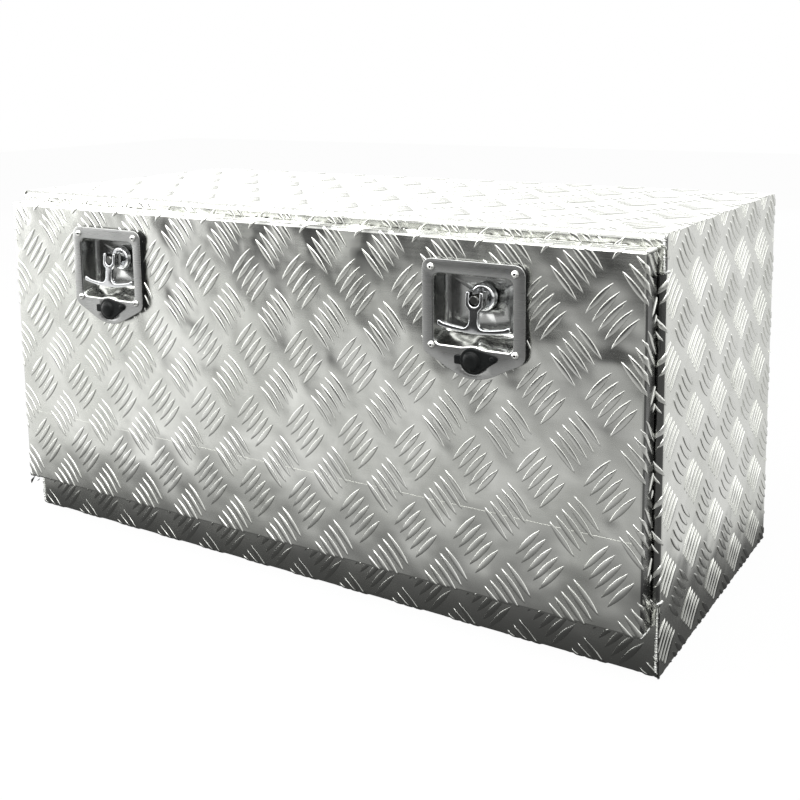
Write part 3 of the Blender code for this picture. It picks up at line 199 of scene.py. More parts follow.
class FinishColours(bpy.types.PropertyGroup):
    sheet: colour("Tread Sheet", "Rolled aluminium between the bars", (0.910, 0.918, 0.874))
    sheet_dull: colour("Tread Sheet Dull", "Clouded rolled aluminium", (0.750, 0.760, 0.714))
    bar: colour("Tread Bar", "Polished crown of a bar", (0.850, 0.856, 0.820))
    # The fold tone is the painted shade of the folds beside the door and of the crease round each
    # bar's foot, the painted dark reflection under the door's top edge, and the tone of the dark
    # chrome
    fold: colour("Fold", "Dull zone in the folds beside the door", (0.150, 0.152, 0.146))
    plain: colour("Plain Sheet", "Flat aluminium inside the door", (0.600, 0.610, 0.605))
    stainless: colour("Stainless", "Satin stainless steel", (0.490, 0.494, 0.484))
    # The pan colour is painted shade: darker than the stainless of the plate it is pressed with
    pan: colour("Polished Stainless", "Polished pan of the lock", (0.310, 0.314, 0.306))
    chrome: colour("Chrome", "Polished plating", (0.620, 0.628, 0.640))
    zinc: colour("Zinc", "Bright zinc on the small steel parts", (0.600, 0.605, 0.600))
    brass: colour("Brass", "Brass of the key plug", (0.600, 0.450, 0.200))
    rubber: colour("Rubber", "Black rubber", (0.0045, 0.0050, 0.0050))
    weld: colour("Weld", "Aluminium weld bead", (0.680, 0.688, 0.680))
    backdrop: colour("Backdrop", "Floor and background", (0.900, 0.900, 0.900))


class StudioSizes(bpy.types.PropertyGroup):
    camera_place: FloatVectorProperty(
        name="Camera Place",
        description="Where the camera stands",
        default=(0.7884, -1.1795, 0.5932),
        size=3,
        subtype="TRANSLATION",
        unit="LENGTH",
    )
    camera_pan: angle("Camera Pan", "Turn of the camera about the vertical", 32.10)
    camera_tilt: angle("Camera Tilt", "Tilt of the camera from straight down", 81.67)
    camera_roll: angle("Camera Roll", "Roll of the camera about its own axis", -0.70)
    lens: FloatProperty(
        name="Lens", description="Focal length", default=49.577, min=1.0, unit="CAMERA"
    )
    shift_x: FloatProperty(name="Shift X", description="Sideways shift of the frame", default=-0.0170)
    shift_y: FloatProperty(name="Shift Y", description="Upright shift of the frame", default=-0.2044)
    floor_size: length("Floor Size", "Width of the floor", 14.0)
    key: amount("Key Light", "Power of the large light at the left front, in watts", 15.0)
    top: amount("Top Light", "Power of the light overhead, in watts", 30.0)
    side: amount("Side Light", "Power of the light at the right rear, in watts", 9.0)
    left: amount("Left Light", "Power of the light at the left end, in watts", 17.0)
    front: amount("Front Light", "Power of the light over the camera, in watts", 15.0)
    back: amount("Back Light", "Power of the wide light low behind the box, in watts", 21.0)
    room: amount("Room Light", "Strength of the light from all round", 0.55)


GROUPS = {
    "tool_box_tread": TreadSizes,
    "tool_box_lock": LockSizes,
    "tool_box_weld": WeldSizes,
    "tool_box_finish": FinishColours,
    "tool_box_studio": StudioSizes,
}


# Pieces


def finish(name):
    found = bpy.data.materials.get(name)
    if found is None:
        raise RuntimeError(f"there is no finish named {name}: make the finishes first")
    return found


def add_piece(name, mesh, body, slot, finishes, replaces=()):
    """A piece of the dressed box, on a CAD body, with its finishes."""
    made = bpy.data.objects.new(name, mesh)
    bpy.context.scene.collection.objects.link(made)
    marks = [face.material_index for face in mesh.polygons]
    mesh.materials.clear()
    for given in finishes:
        mesh.materials.append(finish(given))
    mesh.polygons.foreach_set("material_index", marks)
    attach(made, body)
    if replaces:
        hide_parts(*replaces)
    return made


def mesh_of(name, bm, sharp_degrees):
    mesh = bpy.data.meshes.new(name)
    bm.to_mesh(mesh)
    bm.free()
    mesh.shade_smooth()
    mesh.set_sharp_from_angle(angle=math.radians(sharp_degrees))
    return mesh


def bm_of(mesh):
    bm = bmesh.new()
    bm.from_mesh(mesh)
    bpy.data.meshes.remove(mesh)
    return bm


def middle_of(name):
    low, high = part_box(name)
    return (low + high) / 2


def half_width(name):
    low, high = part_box(name)
    return (high.x - low.x) / 2


def quarter(steps):
    """The angles of a quarter turn."""
    return [math.radians(90.0 * i / steps) for i in range(steps + 1)]


def arc(centre, radius, start, end, steps):
    """Points on an arc, with its angles in degrees, counted anticlockwise."""
    turns = [math.radians(start + (end - start) * i / steps) for i in range(steps + 1)]
    return [(centre[0] + radius * math.cos(a), centre[1] + radius * math.sin(a)) for a in turns]


def rounded_corners(corners, steps):
    """A convex outline, anticlockwise, from (x, y, radius) corners."""
    points = []
    for i, (x, y, radius) in enumerate(corners):
        here = Vector((x, y))
        before = (Vector(corners[i - 1][:2]) - here).normalized()
        after = (Vector(corners[(i + 1) % len(corners)][:2]) - here).normalized()
        half = before.angle(after) / 2
        centre = here + (before + after).normalized() * (radius / math.sin(half))
        start = here + before * (radius / math.tan(half)) - centre
        sweep = start.angle_signed(here + after * (radius / math.tan(half)) - centre)
        for step in range(steps + 1):
            spoke = start.copy()
            spoke.rotate(Matrix.Rotation(-sweep * step / steps, 2))
            points.append(tuple(centre + spoke))
    return points


def grown(points, distance):
    """An anticlockwise outline, moved outwards by a distance along its own normals."""
    made = []
    for i in range(len(points)):
        before, here, after = (Vector(points[(i + k) % len(points)]) for k in (-1, 0, 1))
        first, second = (here - before).normalized(), (after - here).normalized()
        normal = Vector((first.y + second.y, -first.x - second.x)).normalized()
        stretch = max(0.5, normal.dot(Vector((first.y, -first.x))))
        made.append(tuple(here + normal * (distance / stretch)))
    return made


def shifted(points, x, z):
    return [(u + x, w + z) for u, w in points]


def ring(bm, points, depth):
    """A ring of vertices in a plane that faces -Y."""
    return [bm.verts.new((x, depth, z)) for x, z in points]


def band(bm, inner, outer, material=0):
    """Faces between two rings, seen from -Y with the outer ring further from the middle."""
    for i in range(len(inner)):
        j = (i + 1) % len(inner)
        bm.faces.new((outer[i], outer[j], inner[j], inner[i])).material_index = material


def fill_flat(bm, rings, material=0):
    """A flat face that fills the first ring, with the other rings as holes."""
    pairs = [pair for verts in rings for pair in zip(verts, verts[1:] + verts[:1])]
    edges = [bm.edges.get(pair) or bm.edges.new(pair) for pair in pairs]
    made = bmesh.ops.triangle_fill(bm, use_beauty=True, edges=edges, normal=(0.0, -1.0, 0.0))
    faces = [item for item in made["geom"] if isinstance(item, bmesh.types.BMFace)]
    for face in faces:
        face.material_index = material
        if face.normal.y > 0.0:
            face.normal_flip()
    return faces


def slab(bm, outline, front, back, edge, steps=3):
    """A closed slab with a rounded front edge. The front faces -Y."""
    rings = [ring(bm, outline, back)]
    for turn in quarter(steps):
        inset = edge * (1 - math.cos(turn))
        rings.append(ring(bm, grown(outline, -inset), front + edge * (1 - math.sin(turn))))
    for outer, inner in zip(rings, rings[1:]):
        band(bm, inner, outer)
    fill_flat(bm, [rings[-1]])
    for face in fill_flat(bm, [rings[0]]):
        face.normal_flip()


def turned(bm, profile, centre, steps):
    """A solid of revolution. The profile is (radius, height), with height towards -Y."""
    turns = [2 * math.pi * i / steps for i in range(steps)]
    x, y, z = centre
    rings = []
    for radius, height in profile:
        spokes = turns if radius > 0.0 else turns[:1]
        places = [(x + radius * math.cos(a), y - height, z + radius * math.sin(a)) for a in spokes]
        rings.append([bm.verts.new(place) for place in places])
    for low, high in zip(rings, rings[1:]):
        for i in range(steps):
            j = (i + 1) % steps
            corners = (low[i % len(low)], low[j % len(low)], high[j % len(high)], high[i % len(high)])
            kept = list(dict.fromkeys(corners))
            if len(kept) > 2:
                bm.faces.new(kept)


def outward(bm):
    bmesh.ops.recalc_face_normals(bm, faces=bm.faces[:])


# Node trees


class Number:
    """A value in a node tree, so that nodes can be written as sums."""

    def __init__(self, nodes, socket):
        self.nodes, self.socket = nodes, socket

    def __add__(self, other):
        return self.nodes.math("ADD", self, other)

    def __sub__(self, other):
        return self.nodes.math("SUBTRACT", self, other)

    def __rsub__(self, other):
        return self.nodes.math("SUBTRACT", other, self)

    def __mul__(self, other):
        return self.nodes.math("MULTIPLY", self, other)

    def __truediv__(self, other):
        return self.nodes.math("DIVIDE", self, other)

    def __abs__(self):
        return self.nodes.math("ABSOLUTE", self)


class Nodes:
    """A node tree, built node by node."""

    def __init__(self, group):
        self.group = group

    def add(self, kind, inputs=None, **settings):
        made = self.group.nodes.new(kind)
        for key, value in settings.items():
            setattr(made, key, value)
        for key, value in (inputs or {}).items():
            self.feed(made.inputs[key], value)
        return made

    def feed(self, socket, value):
        if isinstance(value, Number):
            value = value.socket
        if isinstance(value, bpy.types.NodeSocket):
            self.group.links.new(value, socket)
        else:
            socket.default_value = value

    def math(self, operation, *values):
        made = self.add("ShaderNodeMath", dict(enumerate(values)), operation=operation)
        return Number(self, made.outputs[0])

    def at_least(self, value, limit):
        return self.math("MAXIMUM", value, limit)

    def parts(self, vector):
        """The X, Y and Z of a vector."""
        made = self.add("ShaderNodeSeparateXYZ", {"Vector": vector})
        return [Number(self, part) for part in made.outputs]

    def vector(self, x=0.0, y=0.0, z=0.0):
        return self.add("ShaderNodeCombineXYZ", {"X": x, "Y": y, "Z": z}).outputs[0]

    def remap(self, value, low, high, new_low, new_high, curve="LINEAR"):
        limits = {"From Min": low, "From Max": high, "To Min": new_low, "To Max": new_high}
        made = self.add("ShaderNodeMapRange", {"Value": value, **limits}, interpolation_type=curve)
        return Number(self, made.outputs[0])


class Tree(Nodes):
    """A Geometry Nodes tree with named inputs."""

    def __init__(self, name, labels, whole=(), takes_geometry=False):
        super().__init__(bpy.data.node_groups.new(name, "GeometryNodeTree"))
        self.identifiers = {}
        if takes_geometry:
            self.socket("Geometry", "INPUT", "Geometry")
        for label in labels:
            kind = "Int" if label in whole else "Float"
            self.identifiers[label] = self.socket(label, "INPUT", kind).identifier
        self.socket("Geometry", "OUTPUT", "Geometry")
        self.source = self.add("NodeGroupInput")

    def socket(self, label, in_out, kind):
        interface = self.group.interface
        return interface.new_socket(label, in_out=in_out, socket_type="NodeSocket" + kind)

    def input(self, label):
        return Number(self, self.source.outputs[label])

    def choose(self, test, when_false, when_true):
        values = {"Switch": test, "False": when_false, "True": when_true}
        made = self.add("GeometryNodeSwitch", values, input_type="FLOAT")
        return Number(self, made.outputs[0])

    def above(self, value, limit):
        values = {"A": value, "B": limit}
        made = self.add("FunctionNodeCompare", values, data_type="FLOAT", operation="GREATER_THAN")
        return made.outputs[0]

    def grid(self, width, height, columns, rows):
        sizes = {"Size X": width, "Size Y": height, "Vertices X": columns, "Vertices Y": rows}
        return self.add("GeometryNodeMeshGrid", sizes).outputs["Mesh"]

    def moved(self, geometry, **places):
        values = {"Geometry": geometry, **places}
        return self.add("GeometryNodeSetPosition", values).outputs[0]

    def merged(self, geometry, distance):
        values = {"Geometry": geometry, "Distance": distance}
        return self.add("GeometryNodeMergeByDistance", values).outputs[0]

    def copies(self, points, instance, **settings):
        values = {"Points": points, "Instance": instance, **settings}
        return self.add("GeometryNodeInstanceOnPoints", values).outputs[0]

    def finish(self, geometries, material):
        joined = self.add("GeometryNodeJoinGeometry")
        for geometry in reversed(geometries):
            self.feed(joined.inputs[0], geometry)
        real = self.add("GeometryNodeRealizeInstances", {"Geometry": joined.outputs[0]})
        values = {"Geometry": real.outputs[0], "Material": material}
        dressed = self.add("GeometryNodeSetMaterial", values)
        self.add("NodeGroupOutput", {0: dressed.outputs[0]})


def grow_mesh(name, tree, values, base=None):
    """The mesh that a tree makes from these values, as a plain mesh with no modifier left."""
    host = bpy.data.objects.new(name + "_host", base or bpy.data.meshes.new(name + "_host"))
    bpy.context.scene.collection.objects.link(host)
    modifier = host.modifiers.new("nodes", "NODES")
    modifier.node_group = tree.group
    for label, value in values.items():
        modifier[tree.identifiers[label]] = value
    graph = bpy.context.evaluated_depsgraph_get()
    mesh = bpy.data.meshes.new_from_object(host.evaluated_get(graph), depsgraph=graph)
    host.modifiers.clear()
    bpy.data.objects.remove(host, do_unlink=True)
    mesh.name = name
    return mesh


def values_of(sizes, labels):
    """The values of the properties that are named like these inputs."""
    return {label: getattr(sizes, label.lower().replace(" ", "_")) for label in labels}


# Tread bars

BAR_COLUMNS, BAR_ROWS = 9, 7
# The rows of a bar's grid that make its rim and its shoulder, as shares of half its width
RIM_SHARE, SHOULDER_SHARE = 0.9, 0.5
# How far the shoulder and the crown lie in from the rim, as shares of the flank
SHOULDER_IN, CROWN_IN = 0.62, 1.05
SHOULDER_HEIGHT, CROWN_SPREAD = 0.86, 3.0
# The distance at which two corners of a bar, or of a rivet, become one
BAR_MERGE, RIVET_MERGE = 1e-5, 5e-6
BAR_SHAPE = ("Bar Length", "Bar Width", "Bar Height", "Bar Flank", "Bar Bow", "Bar Sink")
BAR_STEPS = ("Bar Turn", "Step Across", "Step Down", "Pitch Across", "Pitch Up", "Bars")
BAR_INPUTS = BAR_SHAPE + BAR_STEPS
END_SCALED = ("Bar Length", "Bar Width", "Step Across", "Step Down")


def tread_tree(material):
    """Groups of raised bars on two lattices, one turned left and one turned right, flat in XY."""
    labels = [*BAR_INPUTS, "Columns", "Rows"]
    tree = Tree("tread_bars", labels, whole=("Bars", "Columns", "Rows"))
    bar = tread_bar(tree)
    ways = (-1.0, 1.0)
    tree.finish([tread_lattice(tree, tread_group(tree, bar, way), way) for way in ways], material)
    return tree


def tread_bar(tree):
    """One bar: a lens with a steep flank all round, an almost flat crown and pointed tips."""
    grid = tree.grid(2.0, 2.0, BAR_COLUMNS, BAR_ROWS)
    x, y, _ = tree.parts(tree.add("GeometryNodeInputPosition").outputs[0])
    long, wide, tall, flank, bow, sink = (tree.input(label) for label in BAR_SHAPE)
    lens = 1.0 - x * x
    half = lens * (wide * 0.5)
    reach = abs(y)
    rim = tree.above(reach, RIM_SHARE)
    shoulder = tree.above(reach, SHOULDER_SHARE)
    inner = tree.at_least(half - flank * SHOULDER_IN, 0.0)
    crown = tree.at_least(half - flank * CROWN_IN, 0.0) * reach * CROWN_SPREAD
    aside = tree.choose(rim, tree.choose(shoulder, crown, inner), half) * tree.math("SIGN", y)
    rise = tree.math("MINIMUM", 1.0, half / flank) * tree.choose(shoulder, 1.0, SHOULDER_HEIGHT)
    up = (tall + sink) * tree.choose(rim, rise, 0.0) - sink
    # The rim is stored as the foot, where the bar's finish paints shade in the crease
    marked = tree.add(
        "GeometryNodeStoreNamedAttribute",
        {"Geometry": grid, "Name": "foot", "Value": rim},
        data_type="FLOAT",
        domain="POINT",
    )
    place = tree.vector(x * (long * 0.5), aside + lens * bow, up)
    return tree.merged(tree.moved(marked.outputs[0], Position=place), BAR_MERGE)


def tread_group(tree, bar, way):
    """A group of bars in a slanted stack, centred on the origin."""
    bars = tree.input("Bars")
    across, down = tree.input("Step Across") * way, tree.input("Step Down") * -1.0
    back = (bars - 1.0) * -0.5
    start, step = tree.vector(across * back, down * back), tree.vector(across, down)
    line = {"Count": bars, "Start Location": start, "Offset": step}
    places = tree.add("GeometryNodeMeshLine", line, mode="OFFSET").outputs[0]
    return tree.copies(places, bar, Rotation=tree.vector(z=tree.input("Bar Turn") * way))


def tread_lattice(tree, group, way):
    """The groups of one turn. The two lattices lie half a pitch apart both ways."""
    labels = ("Columns", "Rows", "Pitch Across", "Pitch Up")
    columns, rows, across, up = (tree.input(label) for label in labels)
    points = tree.grid(across * (columns - 1.0), up * (rows - 1.0), columns, rows)
    if way > 0.0:
        points = tree.moved(points, Offset=tree.vector(across * 0.5, up * 0.5))
    return tree.copies(points, group)


# Tread sheets

# How near to a cut a bar is sliced, and the levels between which a lock's hole is cut
SLICE_REACH, LOCK_CUT = 0.05, (-0.01, 0.01)
PLATE_STEPS = 8


def path_spans(points, radius):
    """Each straight of a path of square turns: its start, end and bare length, with its bends."""
    for i, (start, end) in enumerate(zip(points, points[1:])):
        start, end = Vector(start), Vector(end)
        first = radius if i > 0 else 0.0
        last = radius if i < len(points) - 2 else 0.0
        yield start, end, first, last, (end - start).length - first - last


def bend_path(points, radius):
    """The flat lengths at which a path of square turns folds, and the total length."""
    folds, run = [], 0.0
    for _, _, _, last, span in path_spans(points, radius):
        run += span
        if last:
            folds.append(run)
            run += radius * math.pi / 2
    return folds, run


def walk_path(points, radius, distance, height):
    """The place at a flat length along a path, at a height off the sheet."""
    run = 0.0
    for start, end, first, last, span in path_spans(points, radius):
        way = (end - start).normalized()
        out = Vector((-way.y, way.x))
        if distance <= run + span or not last:
            return start + way * (first + distance - run) + out * height
        run += span
        turn = radius * math.pi / 2
        if distance <= run + turn:
            a = (distance - run) / radius
            centre = end - way * radius - out * radius
            return centre + (out * math.cos(a) + way * math.sin(a)) * (radius + height)
        run += turn
    return None


def spread(start, span, pitch, anchor):
    """The middle and count of lattice points that cover a span, with one point on the anchor."""
    low = math.floor((start - anchor) / pitch) - 1
    high = math.ceil((start + span - anchor) / pitch) + 1
    return anchor + pitch * (low + high) / 2, high - low + 1


def tread_field(name, tree, sizes, area, anchor, on_end):
    """The bars of a flat sheet whose area is (low u, low v, high u, high v)."""
    values = values_of(sizes, BAR_INPUTS)
    if on_end:
        values["Pitch Across"], values["Pitch Up"] = sizes.end_pitch_across, sizes.end_pitch_up
        for label in END_SCALED:
            values[label] *= sizes.end_scale
    across, up = values["Pitch Across"], values["Pitch Up"]
    u, values["Columns"] = spread(area[0], area[2] - area[0], across, anchor[0])
    v, values["Rows"] = spread(area[1], area[3] - area[1], up, anchor[1])
    bm = bm_of(grow_mesh(name, tree, values))
    bmesh.ops.translate(bm, vec=(u, v, 0.0), verts=bm.verts)
    return bm


def close_holes(bm):
    edges = [edge for edge in bm.edges if edge.is_boundary]
    bmesh.ops.holes_fill(bm, edges=edges, sides=0)


def slice_at(bm, axis, values):
    """Adds edges across the bars at these places along X (0) or Y (1)."""
    normal = Vector((1.0 - axis, axis, 0.0))
    for value in values:
        near = [v for v in bm.verts if abs(v.co[axis] - value) < SLICE_REACH]
        edges = {edge for v in near for edge in v.link_edges}
        faces = {face for v in near for face in v.link_faces}
        geom = [*near, *edges, *faces]
        spot = normal * value
        bmesh.ops.bisect_plane(bm, geom=geom, dist=ONE_SPOT, plane_co=spot, plane_no=normal)


def drop_faces(bm, lost):
    """Deletes faces, with the vertices that only they use."""
    bmesh.ops.delete(bm, geom=lost, context="FACES")


def drop_verts(bm, lost):
    bmesh.ops.delete(bm, geom=lost, context="VERTS")


def linked_faces(seeds):
    """The faces of every bar that one of these vertices belongs to."""
    waiting, seen, found = list(seeds), set(), set()
    while waiting:
        vert = waiting.pop()
        if vert in seen:
            continue
        seen.add(vert)
        found.update(vert.link_faces)
        waiting.extend(edge.other_vert(vert) for edge in vert.link_edges)
    return found


def cut_round_lock(bm, outline):
    """Takes away what lies inside a convex outline. The bars stay closed."""
    middle = sum((Vector(point) for point in outline), Vector((0.0, 0.0))) / len(outline)
    reach = max((Vector(point) - middle).length for point in outline)
    bars = linked_faces(v for v in bm.verts if (v.co.xy - middle).length < reach)
    bm.faces.index_update()
    wanted = {face.index for face in bars}
    near = bm.copy()
    drop_faces(near, [face for face in near.faces if face.index not in wanted])
    drop_faces(bm, list(bars))
    prism = bmesh.new()
    low, high = ([prism.verts.new((u, v, level)) for u, v in outline] for level in LOCK_CUT)
    prism.faces.new(list(reversed(low)))
    prism.faces.new(high)
    for i in range(len(low)):
        j = (i + 1) % len(low)
        prism.faces.new((low[i], low[j], high[j], high[i]))
    cut = boolean_mesh(near, prism)
    bm.from_mesh(cut)
    bpy.data.meshes.remove(cut)


def boolean_mesh(body, cutter):
    """The first solid less the second, as a mesh."""
    made = []
    for name, bm in (("boolean_body", body), ("boolean_cutter", cutter)):
        mesh = bpy.data.meshes.new(name)
        bm.to_mesh(mesh)
        bm.free()
        made.append(bpy.data.objects.new(name, mesh))
        bpy.context.scene.collection.objects.link(made[-1])
    modifier = made[0].modifiers.new("cut", "BOOLEAN")
    modifier.operation, modifier.solver, modifier.object = "DIFFERENCE", "EXACT", made[1]
    graph = bpy.context.evaluated_depsgraph_get()
    result = bpy.data.meshes.new_from_object(made[0].evaluated_get(graph), depsgraph=graph)
    for obj in made:
        bpy.data.objects.remove(obj, do_unlink=True)
    return result


def tread_sheet(name, body, tree, sizes, area, anchor, cuts, kept, place, outlines=(), on_end=False):
    """The bars of one sheet: cut to its shape while flat, then folded into place."""
    bm = tread_field(name, tree, sizes, area, anchor, on_end)
    low_u, low_v, high_u, high_v = area
    margin = sizes.bar_length

    def near(spot):
        in_u = low_u - margin < spot.x < high_u + margin
        return in_u and low_v - margin < spot.y < high_v + margin

    drop_verts(bm, [vert for vert in bm.verts if not near(vert.co)])
    close_holes(bm)
    for axis, values in enumerate(cuts):
        slice_at(bm, axis, values)
    drop_faces(bm, [face for face in bm.faces if not kept(*face.calc_center_median()[:2])])
    close_holes(bm)
    for outline in outlines:
        cut_round_lock(bm, outline)
    drop_verts(bm, [vert for vert in bm.verts if not vert.link_faces])
    for vert in bm.verts:
        vert.co = place(*vert.co)
    outward(bm)
    add_piece(name, mesh_of(name, bm, SHEET_SHARP), body, "tread_plate", ["tread_bar"])


def fold_places(start, turn):
    return [start, start + turn / 3, start + turn * 2 / 3, start + turn]


def plate_outline(lock, inset=0.0):
    """The lock plate round the middle of the lock, as (x, z)."""
    half = half_width("lock_plate_right") - inset
    shoulder = (inset - lock.plate_shoulder, lock.plate_shoulder_corner)
    corners = [
        (half, lock.plate_top - inset, lock.plate_top_corner),
        (-half, lock.plate_top - inset, lock.plate_top_corner),
        (-half, *shoulder),
        (0.0, inset - lock.plate_toe, lock.plate_toe_corner),
        (half, *shoulder),
    ]
    return rounded_corners(corners, PLATE_STEPS)


def lock_middle(lock, side):
    """The middle of a lock, on the face of its plate."""
    low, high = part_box("lock_plate_" + side)
    return Vector(((low.x + high.x) / 2, low.y, high.z - lock.plate_top))


class TOOLBOX_OT_tread_bars(bpy.types.Operator):
    """Raise the bars of the tread plate on the door, the folded sheet and the end panels"""

    bl_idname = "toolbox.tread_bars"
    bl_label = "Tread Bars"

    def execute(self, context):
        sizes = context.scene.tool_box_tread
        tree = tread_tree(finish("tread_bar"))
        self.door(context.scene.tool_box_lock, tree, sizes)
        self.wrap(tree, sizes)
        for side, way in (("left", -1.0), ("right", 1.0)):
            self.end(tree, sizes, side, way)
        return {"FINISHED"}

    def door(self, lock, tree, sizes):
        bend = sizes.door_bend
        turn = bend * math.pi / 2
        flap = DOOR_HIGH.y - DOOR_LOW.y - bend
        low = Vector((DOOR_LOW.x + bend, DOOR_LOW.z + bend))
        high = Vector((DOOR_HIGH.x - bend, DOOR_HIGH.z - bend))
        past = turn + flap
        area = (low.x - past, low.y - past, high.x + past, high.y + past)
        cuts = []
        for start, end in zip(low, high):
            folds = fold_places(start - turn, turn) + fold_places(end, turn)
            cuts.append([start - past, *folds, end + past])

        def kept(u, v):
            beyond_u = u < low.x or u > high.x
            beyond_v = v < low.y or v > high.y
            inside = area[0] < u < area[2] and area[1] < v < area[3]
            return inside and not (beyond_u and beyond_v)

        def fold(value, floor, ceiling):
            """Splits a flat coordinate into (place along the face, depth, lean, way)."""
            way, edge = (-1.0, floor) if value < floor else (1.0, ceiling)
            beyond = max(floor - value, value - ceiling, 0.0)
            if beyond == 0.0:
                return value, 0.0, 0.0, way
            a = min(beyond / bend, math.pi / 2)
            deep = bend * (1 - math.cos(a)) + max(beyond - turn, 0.0)
            return edge + way * bend * math.sin(a), deep, a, way

        def place(u, v, h):
            x, deep_x, lean_x, way_x = fold(u, low.x, high.x)
            z, deep_z, lean_z, way_z = fold(v, low.y, high.y)
            lean = lean_x or lean_z
            out = h * math.sin(lean)
            x += way_x * out if lean_x else 0.0
            z += way_z * out if lean_z else 0.0
            return Vector((x, DOOR_LOW.y + deep_x + deep_z - h * math.cos(lean), z))

        name, outline = "door_tread_bars", plate_outline(lock, sizes.lock_clearance)
        middles = [lock_middle(lock, side) for side in SIDES]
        outlines = [shifted(outline, middle.x, middle.z) for middle in middles]
        tread_sheet(name, "door", tree, sizes, area, DOOR_ANCHOR, cuts, kept, place, outlines)

    def wrap(self, tree, sizes):
        bend = sizes.box_bend
        front, back = WRAP_LOW.y, WRAP_HIGH.y
        top, bottom = WRAP_HIGH.z, WRAP_LOW.z
        path = [(front, SEAL_HIGH.z + LIP_GAP), (front, top), (back, top)]
        path += [(back, bottom), (front, bottom), (front, HINGE_LOW.z - LIP_GAP)]
        folds, total = bend_path(path, bend)
        cut_s = [0.0, total] + [s for start in folds for s in fold_places(start, bend * math.pi / 2)]
        parts = {
            "roof_tread_bars": (0.0, folds[1] + bend),
            "back_tread_bars": (folds[1] + bend, folds[2] + bend),
            "floor_tread_bars": (folds[2] + bend, total),
        }
        reach = END_HIGH.x - END_GAP

        def place(u, v, h):
            return Vector((u, *walk_path(path, bend, v, h)))

        for name, (start, end) in parts.items():
            area = (-reach, start, reach, end)

            def kept(u, v, low=start, high=end):
                return abs(u) < reach and low < v < high

            cuts = [[-reach, reach], [start, end, *[s for s in cut_s if start < s < end]]]
            tread_sheet(name, "box", tree, sizes, area, WRAP_ANCHOR, cuts, kept, place)

    def end(self, tree, sizes, side, way):
        """The pattern lies turned on the end panels: its rows run upright, its bars bow forwards."""
        bend = sizes.box_bend
        turn = bend * math.pi / 2
        jamb_low, jamb_high = END_JAMB
        front = END_LOW.y + bend
        face = END_HIGH.x * way
        past = turn + (END_HIGH.x - bend) - (SEAL_HIGH.x + LIP_GAP)
        low_z, high_z = END_LOW.z, END_HIGH.z
        area = (low_z, -END_HIGH.y, high_z, past - front)
        across = [-END_HIGH.y, -END_LOW.y, *fold_places(-front, turn), past - front]
        cuts = [[low_z, high_z, jamb_low, jamb_high], across]

        def kept(u, v):
            if not (low_z < u < high_z and -END_HIGH.y < v < past - front):
                return False
            if v > -front and not jamb_low < u < jamb_high:
                return v < -END_LOW.y
            return round_corner(u, v)

        def round_corner(u, v):
            """Whether a place isn't in the rounded-off part of one of the panel's corners."""
            for corner_u, edge_u in ((low_z + bend, -1), (high_z - bend, 1)):
                beyond = (u - corner_u) * edge_u
                if beyond > 0.0 and v < bend - END_HIGH.y:
                    return math.hypot(beyond, v - bend + END_HIGH.y) < bend
            return True

        def place(u, v, h):
            if way < 0.0:
                u = low_z + high_z - u
            beyond = front + v if jamb_low <= u <= jamb_high else 0.0
            if beyond <= 0.0:
                return Vector((face + way * h, -v, u))
            a = min(beyond / bend, math.pi / 2)
            straight = max(beyond - turn, 0.0)
            x = face + way * (bend * (math.cos(a) - 1) + h * math.cos(a) - straight)
            return Vector((x, front - (bend + h) * math.sin(a), u))

        name = f"end_tread_bars_{side}"
        tread_sheet(name, "box", tree, sizes, area, END_ANCHOR, cuts, kept, place, on_end=True)


# Finishes


def rgba(value, share=1.0):
    return (value[0] * share, value[1] * share, value[2] * share, 1.0)


class Shader(Nodes):
    """A procedural material, built round its Principled BSDF."""

    def __init__(self, name, **sockets):
        self.material = bpy.data.materials.new(name)
        self.material.use_nodes = True
        super().__init__(self.material.node_tree)
        self.surface = self.group.nodes["Principled BSDF"]
        for label, value in sockets.items():
            self.set(label.replace("_", " "), value)
        self.coordinates = self.add("ShaderNodeTexCoord").outputs["Object"]

    def set(self, label, value):
        self.feed(self.surface.inputs[label], value)

    def under(self, label):
        """What feeds a socket of the surface so far."""
        return Number(self, self.surface.inputs[label].links[0].from_socket)

    def place(self, axis):
        return self.parts(self.coordinates)["XYZ".index(axis)]

    def noise(self, scale, detail=2.0, rough=0.5, grain=None, distortion=0.0):
        where = self.coordinates
        if grain:
            stretch = {"Vector": where, "Scale": grain}
            where = self.add("ShaderNodeMapping", stretch).outputs[0]
        values = {"Scale": scale, "Detail": detail, "Roughness": rough, "Distortion": distortion}
        made = self.add("ShaderNodeTexNoise", {"Vector": where, **values})
        return Number(self, made.outputs["Fac"])

    def mixed(self, share, first, second):
        values = {0: share, 6: first, 7: second}
        return self.add("ShaderNodeMix", values, data_type="RGBA").outputs[2]

    def veil(self, share, tone):
        """Lays a tone over the colour so far, by a share."""
        self.set("Base Color", self.mixed(share, self.under("Base Color"), rgba(tone)))

    def bump(self, height, distance, strength=1.0, under=None):
        values = {"Height": height, "Distance": distance, "Strength": strength}
        if under is not None:
            values["Normal"] = under
        return self.add("ShaderNodeBump", values).outputs[0]


def rolled_metal(name, bright, dull, rough, grain, clouds=9.0, waves=0.0050):
    """Rolled sheet: clouded tone and gloss, fine streaks along the rolling, a gentle unevenness."""
    shader = Shader(name, Metallic=1.0)
    cloud = shader.noise(clouds, 4.0, 0.62, distortion=0.6)
    fine = shader.noise(1.0, 2.0, 0.6, grain)
    smudge = shader.remap(cloud, 0.38, 0.66, 0.0, 1.0)
    shader.set("Base Color", shader.mixed(smudge, rgba(dull), rgba(bright)))
    gloss = shader.remap(cloud, 0.35, 0.65, rough[1], rough[0])
    shader.set("Roughness", gloss + shader.remap(fine, 0.3, 0.7, -0.02, 0.02))
    wave = shader.bump(shader.noise(clouds * 1.6, 2.0, 0.45), waves)
    shader.set("Normal", shader.bump(fine, 0.00001, 0.4, wave))
    return shader


